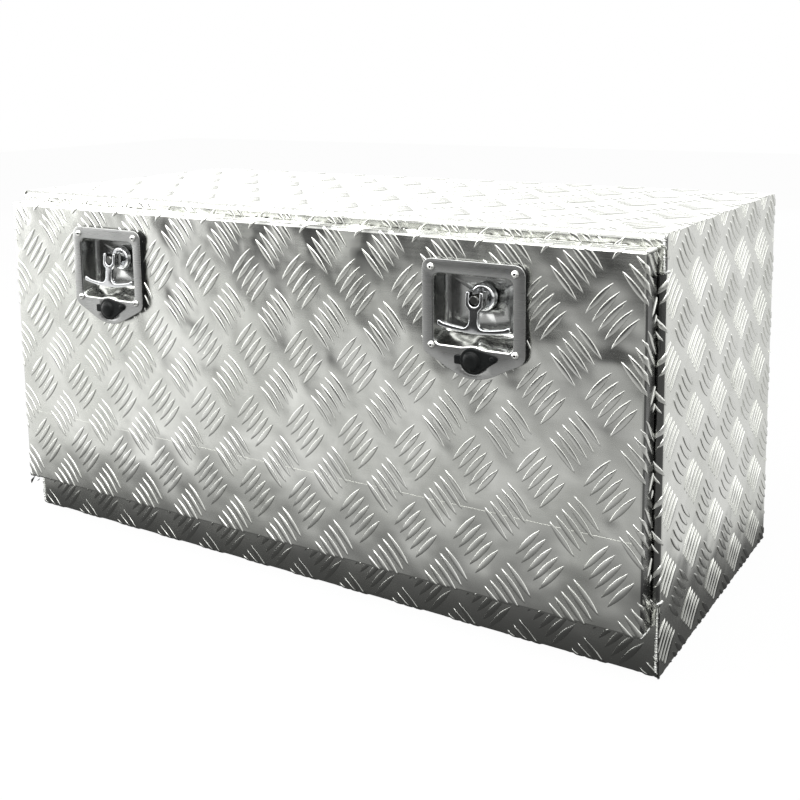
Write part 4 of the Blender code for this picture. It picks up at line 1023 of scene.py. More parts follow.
def pillows(shader, lattice, rise):
    """The gentle bulges between the groups of bars: (axis, middle, pitch) twice."""
    waves = []
    for axis, middle, pitch in lattice:
        turn = 2 * math.pi / pitch
        phase = shader.math("MULTIPLY_ADD", shader.place(axis), turn, -middle * turn)
        waves.append(shader.math("COSINE", phase))
    share = shader.remap(shader.noise(7.0), 0.35, 0.62, -0.3 * rise, -1.4 * rise)
    height = waves[0] * waves[1] * share
    shader.set("Normal", shader.bump(height, 1.0, 1.0, shader.under("Normal")))


def painted_shade_at_feet(shader, tone):
    """Painted shade in the crease round the foot of each bar: the colour darkens towards the foot."""
    foot = shader.add("ShaderNodeAttribute", attribute_name="foot").outputs["Fac"]
    shader.veil(shader.remap(foot, 0.36, 0.76, 0.0, 0.70), tone)


def scribe_line(shader, height, width, tone):
    """A faint line scratched along the sheet at a height."""
    line = shader.math("COMPARE", shader.place("Z"), height, width)
    shader.veil(line, tone)
    shader.set("Roughness", shader.under("Roughness") + line)


def painted_reflection_streaks(shader, middle, reach, heights, tone):
    """Painted dark reflection: streaks under the sheet's top edge, fading between two distances from
    a middle.
    """
    across = shader.remap(abs(shader.place("X") - middle), *reach, 1.0, 0.0)
    up = shader.remap(shader.place("Z"), *heights, 0.0, 1.0)
    reflected_patches = shader.remap(shader.noise(26.0), 0.44, 0.58, 0.0, 0.85)
    shader.veil(across * up * reflected_patches, tone)


def painted_shade_below(shader, heights, share):
    """Painted shade low on the box: the tone falls to a share of itself between two heights."""
    shader.veil(shader.remap(shader.place("Z"), *heights, 1.0 - share, 0.0), BLACK)


def painted_shade_in_folds(shader, axis, limit, tone):
    """Painted shade in the folds, further out than a limit on both sides, or in front."""
    off = abs(shader.place("X")) if axis == "X" else shader.place(axis) * -1.0
    shader.veil(shader.remap(off, limit - FOLD_FADE, limit + FOLD_FADE, 0.0, 1.0), tone)


def brushed_metal(name, tone, rough, grain, waves):
    """Plated, satin or polished metal: faint grain, clouded tone and a slow unevenness."""
    shader = Shader(name, Metallic=1.0)
    fine = shader.noise(1.0, grain=grain)
    cloud = shader.remap(shader.noise(34.0, 3.0, 0.55), 0.35, 0.65, 0.0, 1.0)
    shader.set("Base Color", shader.mixed(cloud, rgba(tone, 0.88), rgba(tone)))
    shader.set("Roughness", shader.remap(fine, 0.2, 0.8, *rough))
    wave = shader.bump(shader.noise(38.0, 1.0, 0.4), waves)
    shader.set("Normal", shader.bump(fine, 0.000004, 0.4, wave))


def rubber_skin(name, tone, rough, grain):
    """Moulded black rubber: a fine grain and a slightly clouded gloss."""
    shader = Shader(name, Metallic=0.0, Specular_IOR_Level=0.12)
    cloud = shader.noise(60.0, 3.0, 0.6)
    shader.set("Base Color", shader.mixed(cloud, rgba(tone), rgba(tone, 1.9)))
    shader.set("Roughness", shader.remap(cloud, 0.3, 0.7, *rough))
    shader.set("Normal", shader.bump(shader.noise(grain, 2.0, 0.6), 0.00004, 0.4))


# Scales of a grain that runs along an axis, or no way
ALONG_X = (14.0, 700.0, 700.0)
ALONG_Z = (700.0, 700.0, 14.0)
EVEN = (260.0, 260.0, 260.0)

# Metals: the tone, the roughness from and to, the grain and the depth of the slow unevenness
METALS = {
    "lock_steel": ("stainless", (0.25, 0.31), ALONG_X, 0.0002),
    # Painted shade: the pan takes a darker tone than the plate it is pressed with
    "pan_steel": ("pan", (0.19, 0.25), EVEN, 0.0010),
    # The pan's lower wall takes the bars' pale tone: a painted highlight of the light above that it
    # faces
    "pan_wall_steel": ("bar", (0.13, 0.20), EVEN, 0.0024),
    "lock_chrome": ("chrome", (0.05, 0.10), EVEN, 0.0003),
    "dark_chrome": ("fold", (0.08, 0.20), EVEN, 0.0003),
    "rivet_steel": ("bar", (0.12, 0.22), EVEN, 0.0002),
    # The hole in a rivet's head is painted black with the rubber tone: painted shade in the recess
    "mandrel_steel": ("rubber", (0.40, 0.60), EVEN, 0.0002),
    "small_steel": ("zinc", (0.20, 0.34), EVEN, 0.0002),
    "hinge_steel": ("zinc", (0.26, 0.40), ALONG_X, 0.0002),
    "stay_steel": ("zinc", (0.24, 0.38), ALONG_Z, 0.0002),
    "plug_brass": ("brass", (0.18, 0.32), EVEN, 0.0002),
}
# Rubbers: the roughness from and to, and the scale of the grain
RUBBERS = {
    "gasket_rubber": ((0.45, 0.60), 900.0),
    "seal_rubber": ((0.55, 0.75), 500.0),
    "cap_rubber": ((0.26, 0.40), 900.0),
}
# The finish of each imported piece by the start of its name, the longer of two like starts first
CAD_FINISHES = {
    "body_wrap": "tread_sheet",
    "door_skin": "door_sheet",
    "end_panel_": "end_sheet",
    "door_liner": "plain_sheet",
    "door_seal": "seal_rubber",
    "hinge_body_leaf": "hinge_steel",
    "hinge_door_leaf": "hinge_steel",
    "hinge_pin": "small_steel",
    "stay_rail_": "stay_steel",
    "stay_bracket_": "stay_steel",
    "stay_arm_": "stay_steel",
    "stay_pin_": "small_steel",
    "stay_stud_": "small_steel",
    "lock_gasket_": "gasket_rubber",
    "key_cylinder_": "lock_chrome",
    "key_plug_": "plug_brass",
    "handle_pin_": "small_steel",
    "spindle_": "dark_chrome",
    "cam_nut_": "small_steel",
    "cam_": "stay_steel",
    "cap_rivet_": "cap_rubber",
    "": "lock_steel",
}
# The line scratched along the door, and the painted dark reflections under the door's top edge
SCRIBE_HEIGHT, SCRIBE_WIDTH = 0.1475, 0.0003
STREAK_MIDDLE, STREAK_REACH, STREAK_HEIGHTS = 0.05, (0.09, 0.17), (0.345, 0.405)
# How far inside the edges of the door and of the end panels the painted shade of the folds starts,
# and fades in
DOOR_FOLD, END_FOLD, FOLD_FADE = 0.0014, 0.0035, 0.0004
# The heights between which painted shade darkens the sheet and the bars, and the share of tone that
# is left
SHEET_SHADE_HEIGHTS, BAR_SHADE_HEIGHTS, SHADE_SHARE = (0.0, 0.048), (0.044, 0.056), 0.60


class TOOLBOX_OT_finishes(bpy.types.Operator):
    """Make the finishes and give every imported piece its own"""

    bl_idname = "toolbox.finishes"
    bl_label = "Finishes"

    def execute(self, context):
        tones, tread = context.scene.tool_box_finish, context.scene.tool_box_tread
        self.sheets(tones, tread)
        for name, (tone, rough, grain, waves) in METALS.items():
            brushed_metal(name, getattr(tones, tone), rough, grain, waves)
        for name, (rough, grain) in RUBBERS.items():
            rubber_skin(name, tones.rubber, rough, grain)
        for name, node in NODES.items():
            start = next(start for start in CAD_FINISHES if name.startswith(start))
            for slot in node.material_slots:
                slot.material = finish(CAD_FINISHES[start])
        return {"FINISHED"}

    def sheets(self, tones, tread):
        dull = tones.sheet_dull
        wrap = rolled_metal("tread_sheet", tones.sheet, dull, (0.16, 0.30), ALONG_X)
        painted_shade_below(wrap, SHEET_SHADE_HEIGHTS, SHADE_SHARE)
        door = rolled_metal("door_sheet", tones.sheet, dull, (0.16, 0.30), ALONG_X)
        scribe_line(door, SCRIBE_HEIGHT, SCRIBE_WIDTH, tones.bar)
        across, up = DOOR_ANCHOR
        lattice = (("X", across, tread.pitch_across), ("Z", up, tread.pitch_up))
        pillows(door, lattice, tread.pillow)
        painted_reflection_streaks(door, STREAK_MIDDLE, STREAK_REACH, STREAK_HEIGHTS, tones.fold)
        painted_shade_in_folds(door, "X", DOOR_HIGH.x - DOOR_FOLD, tones.fold)
        end = rolled_metal("end_sheet", tones.sheet, dull, (0.18, 0.32), ALONG_Z)
        up, across = END_ANCHOR
        lattice = (("Z", up, tread.end_pitch_across), ("Y", -across, tread.end_pitch_up))
        pillows(end, lattice, tread.pillow * 0.5)
        painted_shade_in_folds(end, "Y", -END_LOW.y - END_FOLD, tones.fold)
        bar = rolled_metal("tread_bar", tones.bar, dull, (0.14, 0.26), ALONG_X)
        painted_shade_at_feet(bar, tones.fold)
        painted_shade_below(bar, BAR_SHADE_HEIGHTS, SHADE_SHARE)
        rolled_metal("plain_sheet", tones.plain, dull, (0.28, 0.40), ALONG_X, 5.0, 0.0006)
        rolled_metal("weld_metal", tones.weld, dull, (0.22, 0.40), EVEN, 90.0, 0.0002)


# Locks

PAN_STEPS = 8
CIRCLE_STEPS = 40
ROUND_STEPS = 48
# A face of the pan is part of its lower wall where its normal has at least this share upright
WALL_UPRIGHT = 0.4


def add_lock_piece(name, side, bm, sharp_degrees, body, slot, replaced, *finishes):
    """One of a pair of pieces of the locks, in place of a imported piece."""
    made = mesh_of(f"{name}_{side}", bm, sharp_degrees)
    return add_piece(f"{name}_{side}", made, body, slot, finishes, [f"{replaced}_{side}"])


def pan_outline(lock):
    """The pan's opening round the middle of the lock, as (x, z), with its hump below."""
    half, corner, bottom = lock.pan_half_width, lock.pan_corner, -lock.pan_bottom
    reach, count = lock.pan_hump_reach, 4 * PAN_STEPS
    corners = [(half, lock.pan_top), (-half, lock.pan_top), (-half, bottom), (half, bottom)]
    arcs = []
    for i, (x, z) in enumerate(corners):
        centre = (x - math.copysign(corner, x), z - math.copysign(corner, z))
        arcs.append(arc(centre, corner, 90.0 * i, 90.0 * (i + 1), PAN_STEPS))
    hump = [reach * (2 * i / count - 1) for i in range(1, count)]
    hump = [(u, bottom + lock.pan_hump * (1 + math.cos(math.pi * u / reach)) / 2) for u in hump]
    return arcs[0] + arcs[1] + arcs[2] + hump + arcs[3]


def circle(x, z, radius):
    return arc((x, z), radius, 0.0, 360.0 - 360.0 / CIRCLE_STEPS, CIRCLE_STEPS - 1)


class TOOLBOX_OT_lock_plates(bpy.types.Operator):
    """Press the stainless face plates with their pans"""

    bl_idname = "toolbox.lock_plates"
    bl_label = "Lock Plates"

    def execute(self, context):
        lock = context.scene.tool_box_lock
        finishes = ("lock_steel", "pan_steel", "pan_wall_steel")
        names = ("door", "stainless_steel", "lock_plate")
        for side in SIDES:
            bm = bmesh.new()
            self.face_and_pan(bm, lock, side, lock_middle(lock, side))
            made = add_lock_piece("pressed_plate", side, bm, CAST_SHARP, *names, *finishes)
            shell = made.modifiers.new("sheet", "SOLIDIFY")
            shell.thickness, shell.offset, shell.use_even_offset = lock.sheet, -1.0, True
        return {"FINISHED"}

    def face_and_pan(self, bm, lock, side, middle):
        x, face, z = middle
        outer = shifted(plate_outline(lock), x, z)
        pan = shifted(pan_outline(lock), x, z)
        edge, rim, fillet = lock.plate_edge, lock.pan_rim, lock.pan_fillet
        floor = face + lock.pan_depth
        rings = [
            ring(bm, grown(outer, -edge * (1 - math.cos(a))), face + edge * (1 - math.sin(a)))
            for a in quarter(3)
        ]
        for far, near in zip(rings, rings[1:]):
            band(bm, near, far)

        def wall(growth, depth):
            """The pan's outline at a depth, whose lower half rises with the draft."""
            rise = 1.0 - lock.pan_draft / lock.pan_bottom * (depth - face) / lock.pan_depth
            points = [(u, z + (w - z) * (rise if w < z else 1.0)) for u, w in grown(pan, growth)]
            return ring(bm, points, depth)

        walls = [wall(rim * (1 - math.sin(a)), face + rim * (1 - math.cos(a))) for a in quarter(3)]
        walls += [
            wall(-fillet * (1 - math.cos(a)), floor - fillet * (1 - math.sin(a))) for a in quarter(6)
        ]
        for out, into in zip(walls, walls[1:]):
            band(bm, into, out, 1)
        radius = half_width("key_cylinder_" + side) + FIT_GAP
        keyhole = ring(bm, circle(x, middle_of("key_cylinder_" + side).z, radius), face)
        fill_flat(bm, [rings[-1], walls[0], keyhole])
        bore = half_width("spindle_" + side) + FIT_GAP
        hole = ring(bm, circle(x, z + lock.pin_rise, bore), floor)
        fill_flat(bm, [walls[-1], hole], 1)
        # The faces of the pan's lower wall, turned towards the light above, get the painted highlight
        bm.normal_update()
        for item in bm.faces:
            low = item.calc_center_median().z < z
            if item.material_index == 1 and low and abs(item.normal.z) > WALL_UPRIGHT:
                item.material_index = 2


class TOOLBOX_OT_lock_bosses(bpy.types.Operator):
    """Turn the boss that carries the spindle on each pan's floor"""

    bl_idname = "toolbox.lock_bosses"
    bl_label = "Lock Bosses"

    def execute(self, context):
        lock = context.scene.tool_box_lock
        bore, crown, chamfer = 0.0063, 0.0042, 0.0005
        rise = crown * 0.8
        for side in SIDES:
            low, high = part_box("lock_boss_" + side)
            deep, wide = high.y - low.y, (high.x - low.x) / 2
            middle = lock_middle(lock, side)
            profile = [(bore, 0.0), (wide, 0.0)]
            for a in quarter(9):
                profile.append((wide - crown * (1 - math.cos(a)), deep - rise * (1 - math.sin(a))))
            profile += [(bore + chamfer, deep), (bore, deep - chamfer), (bore, 0.0)]
            bm = bmesh.new()
            turned(bm, profile, (middle.x, high.y, middle.z + lock.pin_rise), ROUND_STEPS)
            bmesh.ops.remove_doubles(bm, verts=bm.verts, dist=ONE_SPOT)
            outward(bm)
            names = ("door", "lock_chrome", "lock_boss")
            add_lock_piece("turned_boss", side, bm, TURNED_SHARP, *names, "lock_chrome")
        return {"FINISHED"}


# The handle's head round its pin: the slot between the ears, the outline and the bridge below
SLOT_HALF, SLOT_DROP = 0.0062, 0.0006
HEAD_TOP, HEAD_SHOULDER, HEAD_NECK, HEAD_CORNER = 0.0082, -0.0062, -0.0112, 0.0016
BRIDGE_HALF, BRIDGE_LOW = 0.0060, -0.0102
# Half the height of the handle's bar, half its stem's width, the fillet between them
BAR_HALF, STEM_HALF, STEM_FILLET = 0.0022, 0.0051, 0.0075
# How far the handle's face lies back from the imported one, and the ears in from the pin's ends
HANDLE_BACK, EAR_GAP, EAR_EDGE = 0.0004, 0.0001, 0.0003
BAR_STEPS_ALONG, SLOT_STEPS = 20, 18


def head_corner(half):
    return arc((half - HEAD_CORNER, HEAD_TOP - HEAD_CORNER), HEAD_CORNER, 0.0, 90.0, 4)


def slot_arc():
    return arc((0.0, -SLOT_DROP), SLOT_HALF, 0.0, -180.0, SLOT_STEPS)


def handle_outline(lock, half_head):
    """The forked head, the stem and the anchor-shaped bar round the pin, as (x, z)."""
    reach, half = lock.handle_reach, BAR_HALF

    def line(u):
        return lock.handle_rise * (u / reach) ** 2 - lock.handle_drop

    count = BAR_STEPS_ALONG
    low = [reach * (2 * i / count - 1) for i in range(count + 1)]
    lower = [(u, line(u) - half) for u in low]
    tip = ((0.0013, -0.5), (0.0013, 1.1), (0.0004, 1.5), (-0.0018, 1.3))
    right = [(reach + out, line(reach) + half * share) for out, share in tip]
    right += [(reach * share, line(reach * share) + half) for share in (0.88, 0.74, 0.60, 0.46)]
    edge = STEM_HALF + STEM_FILLET
    centre = (edge, line(edge) + half + STEM_FILLET)
    right += reversed(arc(centre, STEM_FILLET, 180.0, 270.0, 8))
    right += [(STEM_HALF, HEAD_NECK), (half_head, HEAD_SHOULDER), *head_corner(half_head)]
    right += [(SLOT_HALF + 0.0002, HEAD_TOP), (SLOT_HALF, HEAD_TOP - 0.0003)]
    return lower + right + slot_arc() + [(-u, w) for u, w in reversed(right)]


class TOOLBOX_OT_t_handles(bpy.types.Operator):
    """Cast the folding T-handles with their forks"""

    bl_idname = "toolbox.t_handles"
    bl_label = "T-Handles"

    def execute(self, context):
        lock = context.scene.tool_box_lock
        lean, depth = lock.handle_lean, lock.handle_depth
        for side in SIDES:
            low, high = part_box("t_handle_" + side)
            middle = lock_middle(lock, side)
            x, z = middle.x, middle.z + lock.pin_rise
            half = half_width("handle_pin_" + side)
            front = low.y + HANDLE_BACK
            outline = shifted(handle_outline(lock, half), x, z)
            bm = bmesh.new()
            slab(bm, outline, front, front + depth, lock.handle_edge, 4)
            for vert in bm.verts:
                vert.co.y += max(0.0, vert.co.z - z + lock.handle_drop) * lean
            ears = front + lock.handle_drop * lean + depth / 2
            self.fork(bm, x, z, ears, high.y, half - EAR_GAP)
            names = (f"handle_{side}", "lock_chrome", "t_handle")
            add_lock_piece("cast_handle", side, bm, CAST_SHARP, *names, "lock_chrome")
        return {"FINISHED"}

    def fork(self, bm, x, z, front, back, half):
        """Two ears beside the spindle, and the bridge that joins them below it."""
        outline = [(-half, HEAD_SHOULDER), (-BRIDGE_HALF, BRIDGE_LOW), (BRIDGE_HALF, BRIDGE_LOW)]
        outline += [(half, HEAD_SHOULDER), *head_corner(half), (SLOT_HALF, HEAD_TOP)]
        outline += [*slot_arc(), (-SLOT_HALF, HEAD_TOP)]
        outline += [(-u, w) for u, w in reversed(head_corner(half))]
        slab(bm, shifted(outline, x, z), front, back, EAR_EDGE)


class TOOLBOX_OT_spindles(bpy.types.Operator):
    """Turn the round spindles between the handles and the cams"""

    bl_idname = "toolbox.spindles"
    bl_label = "Spindles"

    def execute(self, context):
        lock = context.scene.tool_box_lock
        shaft, thread, chamfer = 0.0058, 0.0040, 0.0005
        # The rounded end swings inside the handle's slot, so its radius is from the pin
        swing, end_gap, steps = 0.0061, 0.0017, 5
        for side in SIDES:
            name = f"spindle_{side}"
            low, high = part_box(name)
            shoulder = high.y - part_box(f"cam_{side}")[0].y + FIT_GAP
            end = high.y - low.y - end_gap
            pin = high.y - middle_of(f"handle_pin_{side}").y
            first, last = math.acos(shaft / swing), math.asin((end - pin) / swing)
            profile = [(0.0, 0.0), (thread - chamfer, 0.0), (thread, chamfer), (thread, shoulder)]
            profile += [(shaft, shoulder)]
            for i in range(steps + 1):
                a = first + (last - first) * i / steps
                profile.append((swing * math.cos(a), pin + swing * math.sin(a)))
            profile += [(0.0, end)]
            place = (middle_of(name).x, high.y, lock_middle(lock, side).z + lock.pin_rise)
            bm = bmesh.new()
            turned(bm, profile, place, ROUND_STEPS)
            outward(bm)
            names = (name, "lock_chrome", "spindle")
            add_lock_piece("turned_spindle", side, bm, TURNED_SHARP, *names, "dark_chrome")
        return {"FINISHED"}


RIVET_STEPS = 28
HEAD_INPUTS = ("Head Radius", "Head Height", "Hole Radius")
RIVET_INPUTS = (*HEAD_INPUTS, "Hole Depth", "Shank Radius", "Shank Length")
HOLE_DEPTH, SHANK_RADIUS, SHANK_LENGTH = 0.0018, 0.0020, 0.0090
HEAD_ANGLES = (28, 38, 48, 58, 68, 78, 86)


def rivet_tree(material):
    """Blind rivets on the points of a mesh: a domed head with a hole in it, and a shank."""
    tree = Tree("blind_rivets", RIVET_INPUTS, takes_geometry=True)
    wide, tall, hole, depth, shank, reach = (tree.input(label) for label in RIVET_INPUTS)
    deep, foot = tall - depth, reach * -1.0
    corners = [(0.0, deep), (hole, deep), (hole, tall * 0.93), (hole + 0.0002, tall * 0.98)]
    for a in map(math.radians, HEAD_ANGLES):
        corners.append((wide * math.sin(a), tall * math.cos(a)))
    corners += [(wide, 0.0), (shank, 0.0), (shank, foot), (0.0, foot)]
    grid = tree.grid(1.0, 1.0, RIVET_STEPS + 1, len(corners))
    x, y, _ = tree.parts(tree.add("GeometryNodeInputPosition").outputs[0])
    row = (y + 0.5) * (len(corners) - 1.0)
    turn = (x + 0.5) * (2 * math.pi)
    across, up = corners[0]
    for i, (radius, height) in enumerate(corners[1:], 1):
        reached = tree.above(row, i - 0.5)
        across = tree.choose(reached, across, radius)
        up = tree.choose(reached, up, height)
    place = tree.vector(across * tree.math("COSINE", turn), across * tree.math("SINE", turn), up)
    rivet = tree.merged(tree.moved(grid, Position=place), RIVET_MERGE)
    tree.finish([tree.copies(tree.input("Geometry"), rivet)], material)
    return tree


class TOOLBOX_OT_lock_rivets(bpy.types.Operator):
    """Set the blind rivets of the lock plates"""

    bl_idname = "toolbox.lock_rivets"
    bl_label = "Lock Rivets"

    def execute(self, context):
        lock = context.scene.tool_box_lock
        names = [f"lock_rivet_{side}_{i}" for side in SIDES for i in range(1, 5)]
        middles = [middle_of(name) for name in names]
        base = bpy.data.meshes.new("rivet_places")
        base.from_pydata([(spot.x, spot.z, FIT_GAP - PLATE_FACE) for spot in middles], [], [])
        sizes = (lock.rivet_radius, lock.rivet_height, lock.mandrel_radius)
        sizes += (HOLE_DEPTH, SHANK_RADIUS, SHANK_LENGTH)
        values = dict(zip(RIVET_INPUTS, sizes))
        mesh = grow_mesh("rivets", rivet_tree(finish("rivet_steel")), values, base)
        mesh.transform(Matrix.Rotation(math.radians(90.0), 4, "X"))
        bm = bm_of(mesh)
        outward(bm)
        # Faces in the hole of a head get the rubber's black, painted shade of the recess
        for face in bm.faces:
            spot = face.calc_center_median()
            off = min(math.hypot(spot.x - m.x, spot.z - m.z) for m in middles)
            in_hole = off < lock.mandrel_radius * 1.02 and spot.y < PLATE_FACE + 0.0005
            face.material_index = 1 if in_hole else 0
        finishes = ["rivet_steel", "mandrel_steel"]
        made = mesh_of("set_rivets", bm, SHEET_SHARP)
        add_piece("set_rivets", made, "door", "rivet_metal", finishes, names)
        return {"FINISHED"}


# The weather cap: the tail's radius, the flange's edge, and the tab's ends, half width and inset
CAP_TAIL, CAP_EDGE = 0.0044, 0.0009
TAB_ROOT, TAB_END, TAB_HALF, TAB_IN = -0.0060, -0.0205, 0.0046, 0.0005
# The dome's steps from its foot, as (radius, height over the flange), and its rounded top
DOME_STEPS = ((0.0100, 0.0007), (0.0092, 0.0010), (0.0089, 0.0016), (0.0086, 0.0024))
DOME_FOOT, DOME_TOP, DOME_ROUND, DOME_ANGLES = 0.0104, 0.0080, 0.0018, (15, 35, 55, 72)


def teardrop(radius, tail, out, up):
    """The weather cap's flange: a round cover and its tail, from the cover's middle."""
    heading = math.degrees(math.atan2(up, out))
    lean = math.degrees(math.acos((radius - tail) / math.hypot(out, up)))
    points = arc((0.0, 0.0), radius, heading + lean, heading + 360.0 - lean, 44)
    return points + arc((out, up), tail, heading - lean, heading + lean, 14)


class TOOLBOX_OT_weather_caps(bpy.types.Operator):
    """Mould the rubber caps over the key cylinders"""

    bl_idname = "toolbox.weather_caps"
    bl_label = "Weather Caps"

    def execute(self, context):
        lock = context.scene.tool_box_lock
        base = lock.cap_base
        top = base + lock.cap_dome - DOME_ROUND
        profile = [(0.0, base * 0.5), (DOME_FOOT, base * 0.5), (DOME_FOOT, base)]
        profile += [(radius, base + height) for radius, height in DOME_STEPS]
        for a in map(math.radians, DOME_ANGLES):
            profile.append((DOME_TOP * math.cos(a), top + DOME_ROUND * math.sin(a)))
        profile += [(0.0, top + DOME_ROUND)]
        tab = [(TAB_ROOT, TAB_HALF, 0.0005), (TAB_END, TAB_HALF, 0.0014)]
        tab = rounded_corners([*tab, *((x, -z, r) for x, z, r in reversed(tab))], 4)
        for side in SIDES:
            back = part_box("weather_cap_" + side)[1].y
            key = middle_of("key_cylinder_" + side)
            tail = middle_of("cap_rivet_" + side) - key
            flange = teardrop(lock.cap_radius, CAP_TAIL, tail.x, tail.z)
            bm = bmesh.new()
            slab(bm, shifted(flange, key.x, key.z), back - base, back, CAP_EDGE)
            slab(bm, shifted(tab, key.x, key.z), back - base + TAB_IN, back - TAB_IN, TAB_IN)
            turned(bm, profile, (key.x, back, key.z), CIRCLE_STEPS)
            names = (f"cap_{side}", "rubber", "weather_cap")
            add_lock_piece("moulded_cap", side, bm, MOULDED_SHARP, *names, "cap_rubber")
        return {"FINISHED"}


# Welds

WELD_INPUTS = ("Ripple Pitch", "Bead Radius", "Flatness", "Seed")


def weld_tree(material):
    """A bead of overlapping ripples along each line of a mesh."""
    tree = Tree("weld_beads", WELD_INPUTS, whole=("Seed",), takes_geometry=True)
    pitch, radius, flatness, seed = (tree.input(label) for label in WELD_INPUTS)
    line = tree.add("GeometryNodeMeshToCurve", {"Mesh": tree.input("Geometry")}).outputs[0]
    along = {"Curve": line, "Length": pitch}
    points = tree.add("GeometryNodeCurveToPoints", along, mode="LENGTH").outputs
    ripple = tree.add("GeometryNodeMeshIcoSphere", {"Subdivisions": 2, "Radius": radius})
    limits = {2: 0.78, 3: 1.12, "Seed": seed}
    uneven = tree.add("FunctionNodeRandomValue", limits, data_type="FLOAT")
    share = Number(tree, uneven.outputs[1])
    size = tree.vector(share, share, share * flatness)
    turn = points["Rotation"]
    made = tree.copies(points[0], ripple.outputs[0], Rotation=turn, Scale=size)
    tree.finish([made], material)
    return tree


class TOOLBOX_OT_weld_beads(bpy.types.Operator):
    """Lay the weld beads at the corners of the door and of the box's front"""

    bl_idname = "toolbox.weld_beads"
    bl_label = "Weld Beads"

    def execute(self, context):
        values = values_of(context.scene.tool_box_weld, WELD_INPUTS)
        tree = weld_tree(finish("weld_metal"))
        inset, off, corner_gap = 0.0010, 0.0006, 0.006
        front, back = DOOR_LOW.y + 0.002, DOOR_HIGH.y - 0.001
        low_jamb, high_jamb = END_JAMB
        y = WRAP_LOW.y + off
        door, box = [], []
        for way in (-1.0, 1.0):
            x = way * (DOOR_HIGH.x - inset)
            for z in (DOOR_LOW.z + inset, DOOR_HIGH.z - inset):
                door.append([(x, front, z), (x, back, z)])
            x, side = way * (WRAP_HIGH.x + off), way * (END_HIGH.x - END_GAP)
            box.append([(x, y, corner_gap), (x, y, low_jamb)])
            box.append([(x, y, high_jamb), (x, y, WRAP_HIGH.z - corner_gap)])
            for z in END_JAMB:
                box.append([(x, y, z), (side, y + 0.003, z), (side, y + 0.008, z)])
        for name, lines, body in (("door_welds", door, "door"), ("box_welds", box, "box")):
            mesh = grow_mesh(name, tree, values, self.lines_mesh(name, lines))
            mesh.shade_smooth()
            add_piece(name, mesh, body, "tread_plate", ["weld_metal"])
        return {"FINISHED"}

    def lines_mesh(self, name, lines):
        mesh = bpy.data.meshes.new(name + "_lines")
        verts, edges = [], []
        for line in lines:
            start = len(verts)
            verts += line
            edges += [(start + i, start + i + 1) for i in range(len(line) - 1)]
        mesh.from_pydata(verts, edges, [])
        return mesh


# Studio

# Each area light: where it stands, where it aims and how wide and high it is
LIGHTS = {
    "key": ((-1.7, -1.5, 1.25), (0.0, -0.2, 0.15), (1.3, 1.3)),
    "top": ((-0.1, -0.75, 1.75), (0.0, -0.15, 0.25), (2.0, 1.3)),
    "side": ((1.9, 1.0, 0.9), (0.3, 0.1, 0.2), (1.6, 1.6)),
    "left": ((-2.4, -0.5, 0.55), (0.0, -0.2, 0.2), (1.6, 1.1)),
    "front": ((0.35, -2.0, 1.65), (0.0, -0.2, 0.2), (1.8, 0.8)),
    "back": ((-1.5, 3.0, 0.95), (0.0, 0.0, 0.4), (4.2, 1.6)),
}
# Half the box's width and depth, as the painted shadow round it on the mirrored floor has them
BOX_HALF_X, BOX_HALF_Y = 0.45, 0.20
# The way from the box to where the photographer stands
PHOTOGRAPHER = (-0.375, -0.927, 0.0)


class Backdrop(Nodes):
    """The nodes of the floor or of the room, which the camera sees as white."""

    def smooth(self, value, low, high, new_low, new_high):
        return self.remap(value, low, high, new_low, new_high, "SMOOTHSTEP")

    def light(self, kind, tone):
        """An emission or a background of strength 1, with a plain or a computed tone."""
        colour = tone if isinstance(tone, Number) else (tone, tone, tone, 1.0)
        return self.add(kind, {"Color": colour, "Strength": 1.0}).outputs[0]

    def mix(self, share, first, second):
        return self.add("ShaderNodeMixShader", {0: share, 1: first, 2: second}).outputs[0]

    def seen_plainly(self):
        """1 for the rays that show the backdrop itself, and the socket that tells glossy rays."""
        path = self.add("ShaderNodeLightPath").outputs
        seen = self.at_least(path["Is Camera Ray"], path["Is Transmission Ray"])
        return seen, path["Is Glossy Ray"]

    def show(self, output, shader):
        self.feed(self.group.nodes[output].inputs["Surface"], shader)


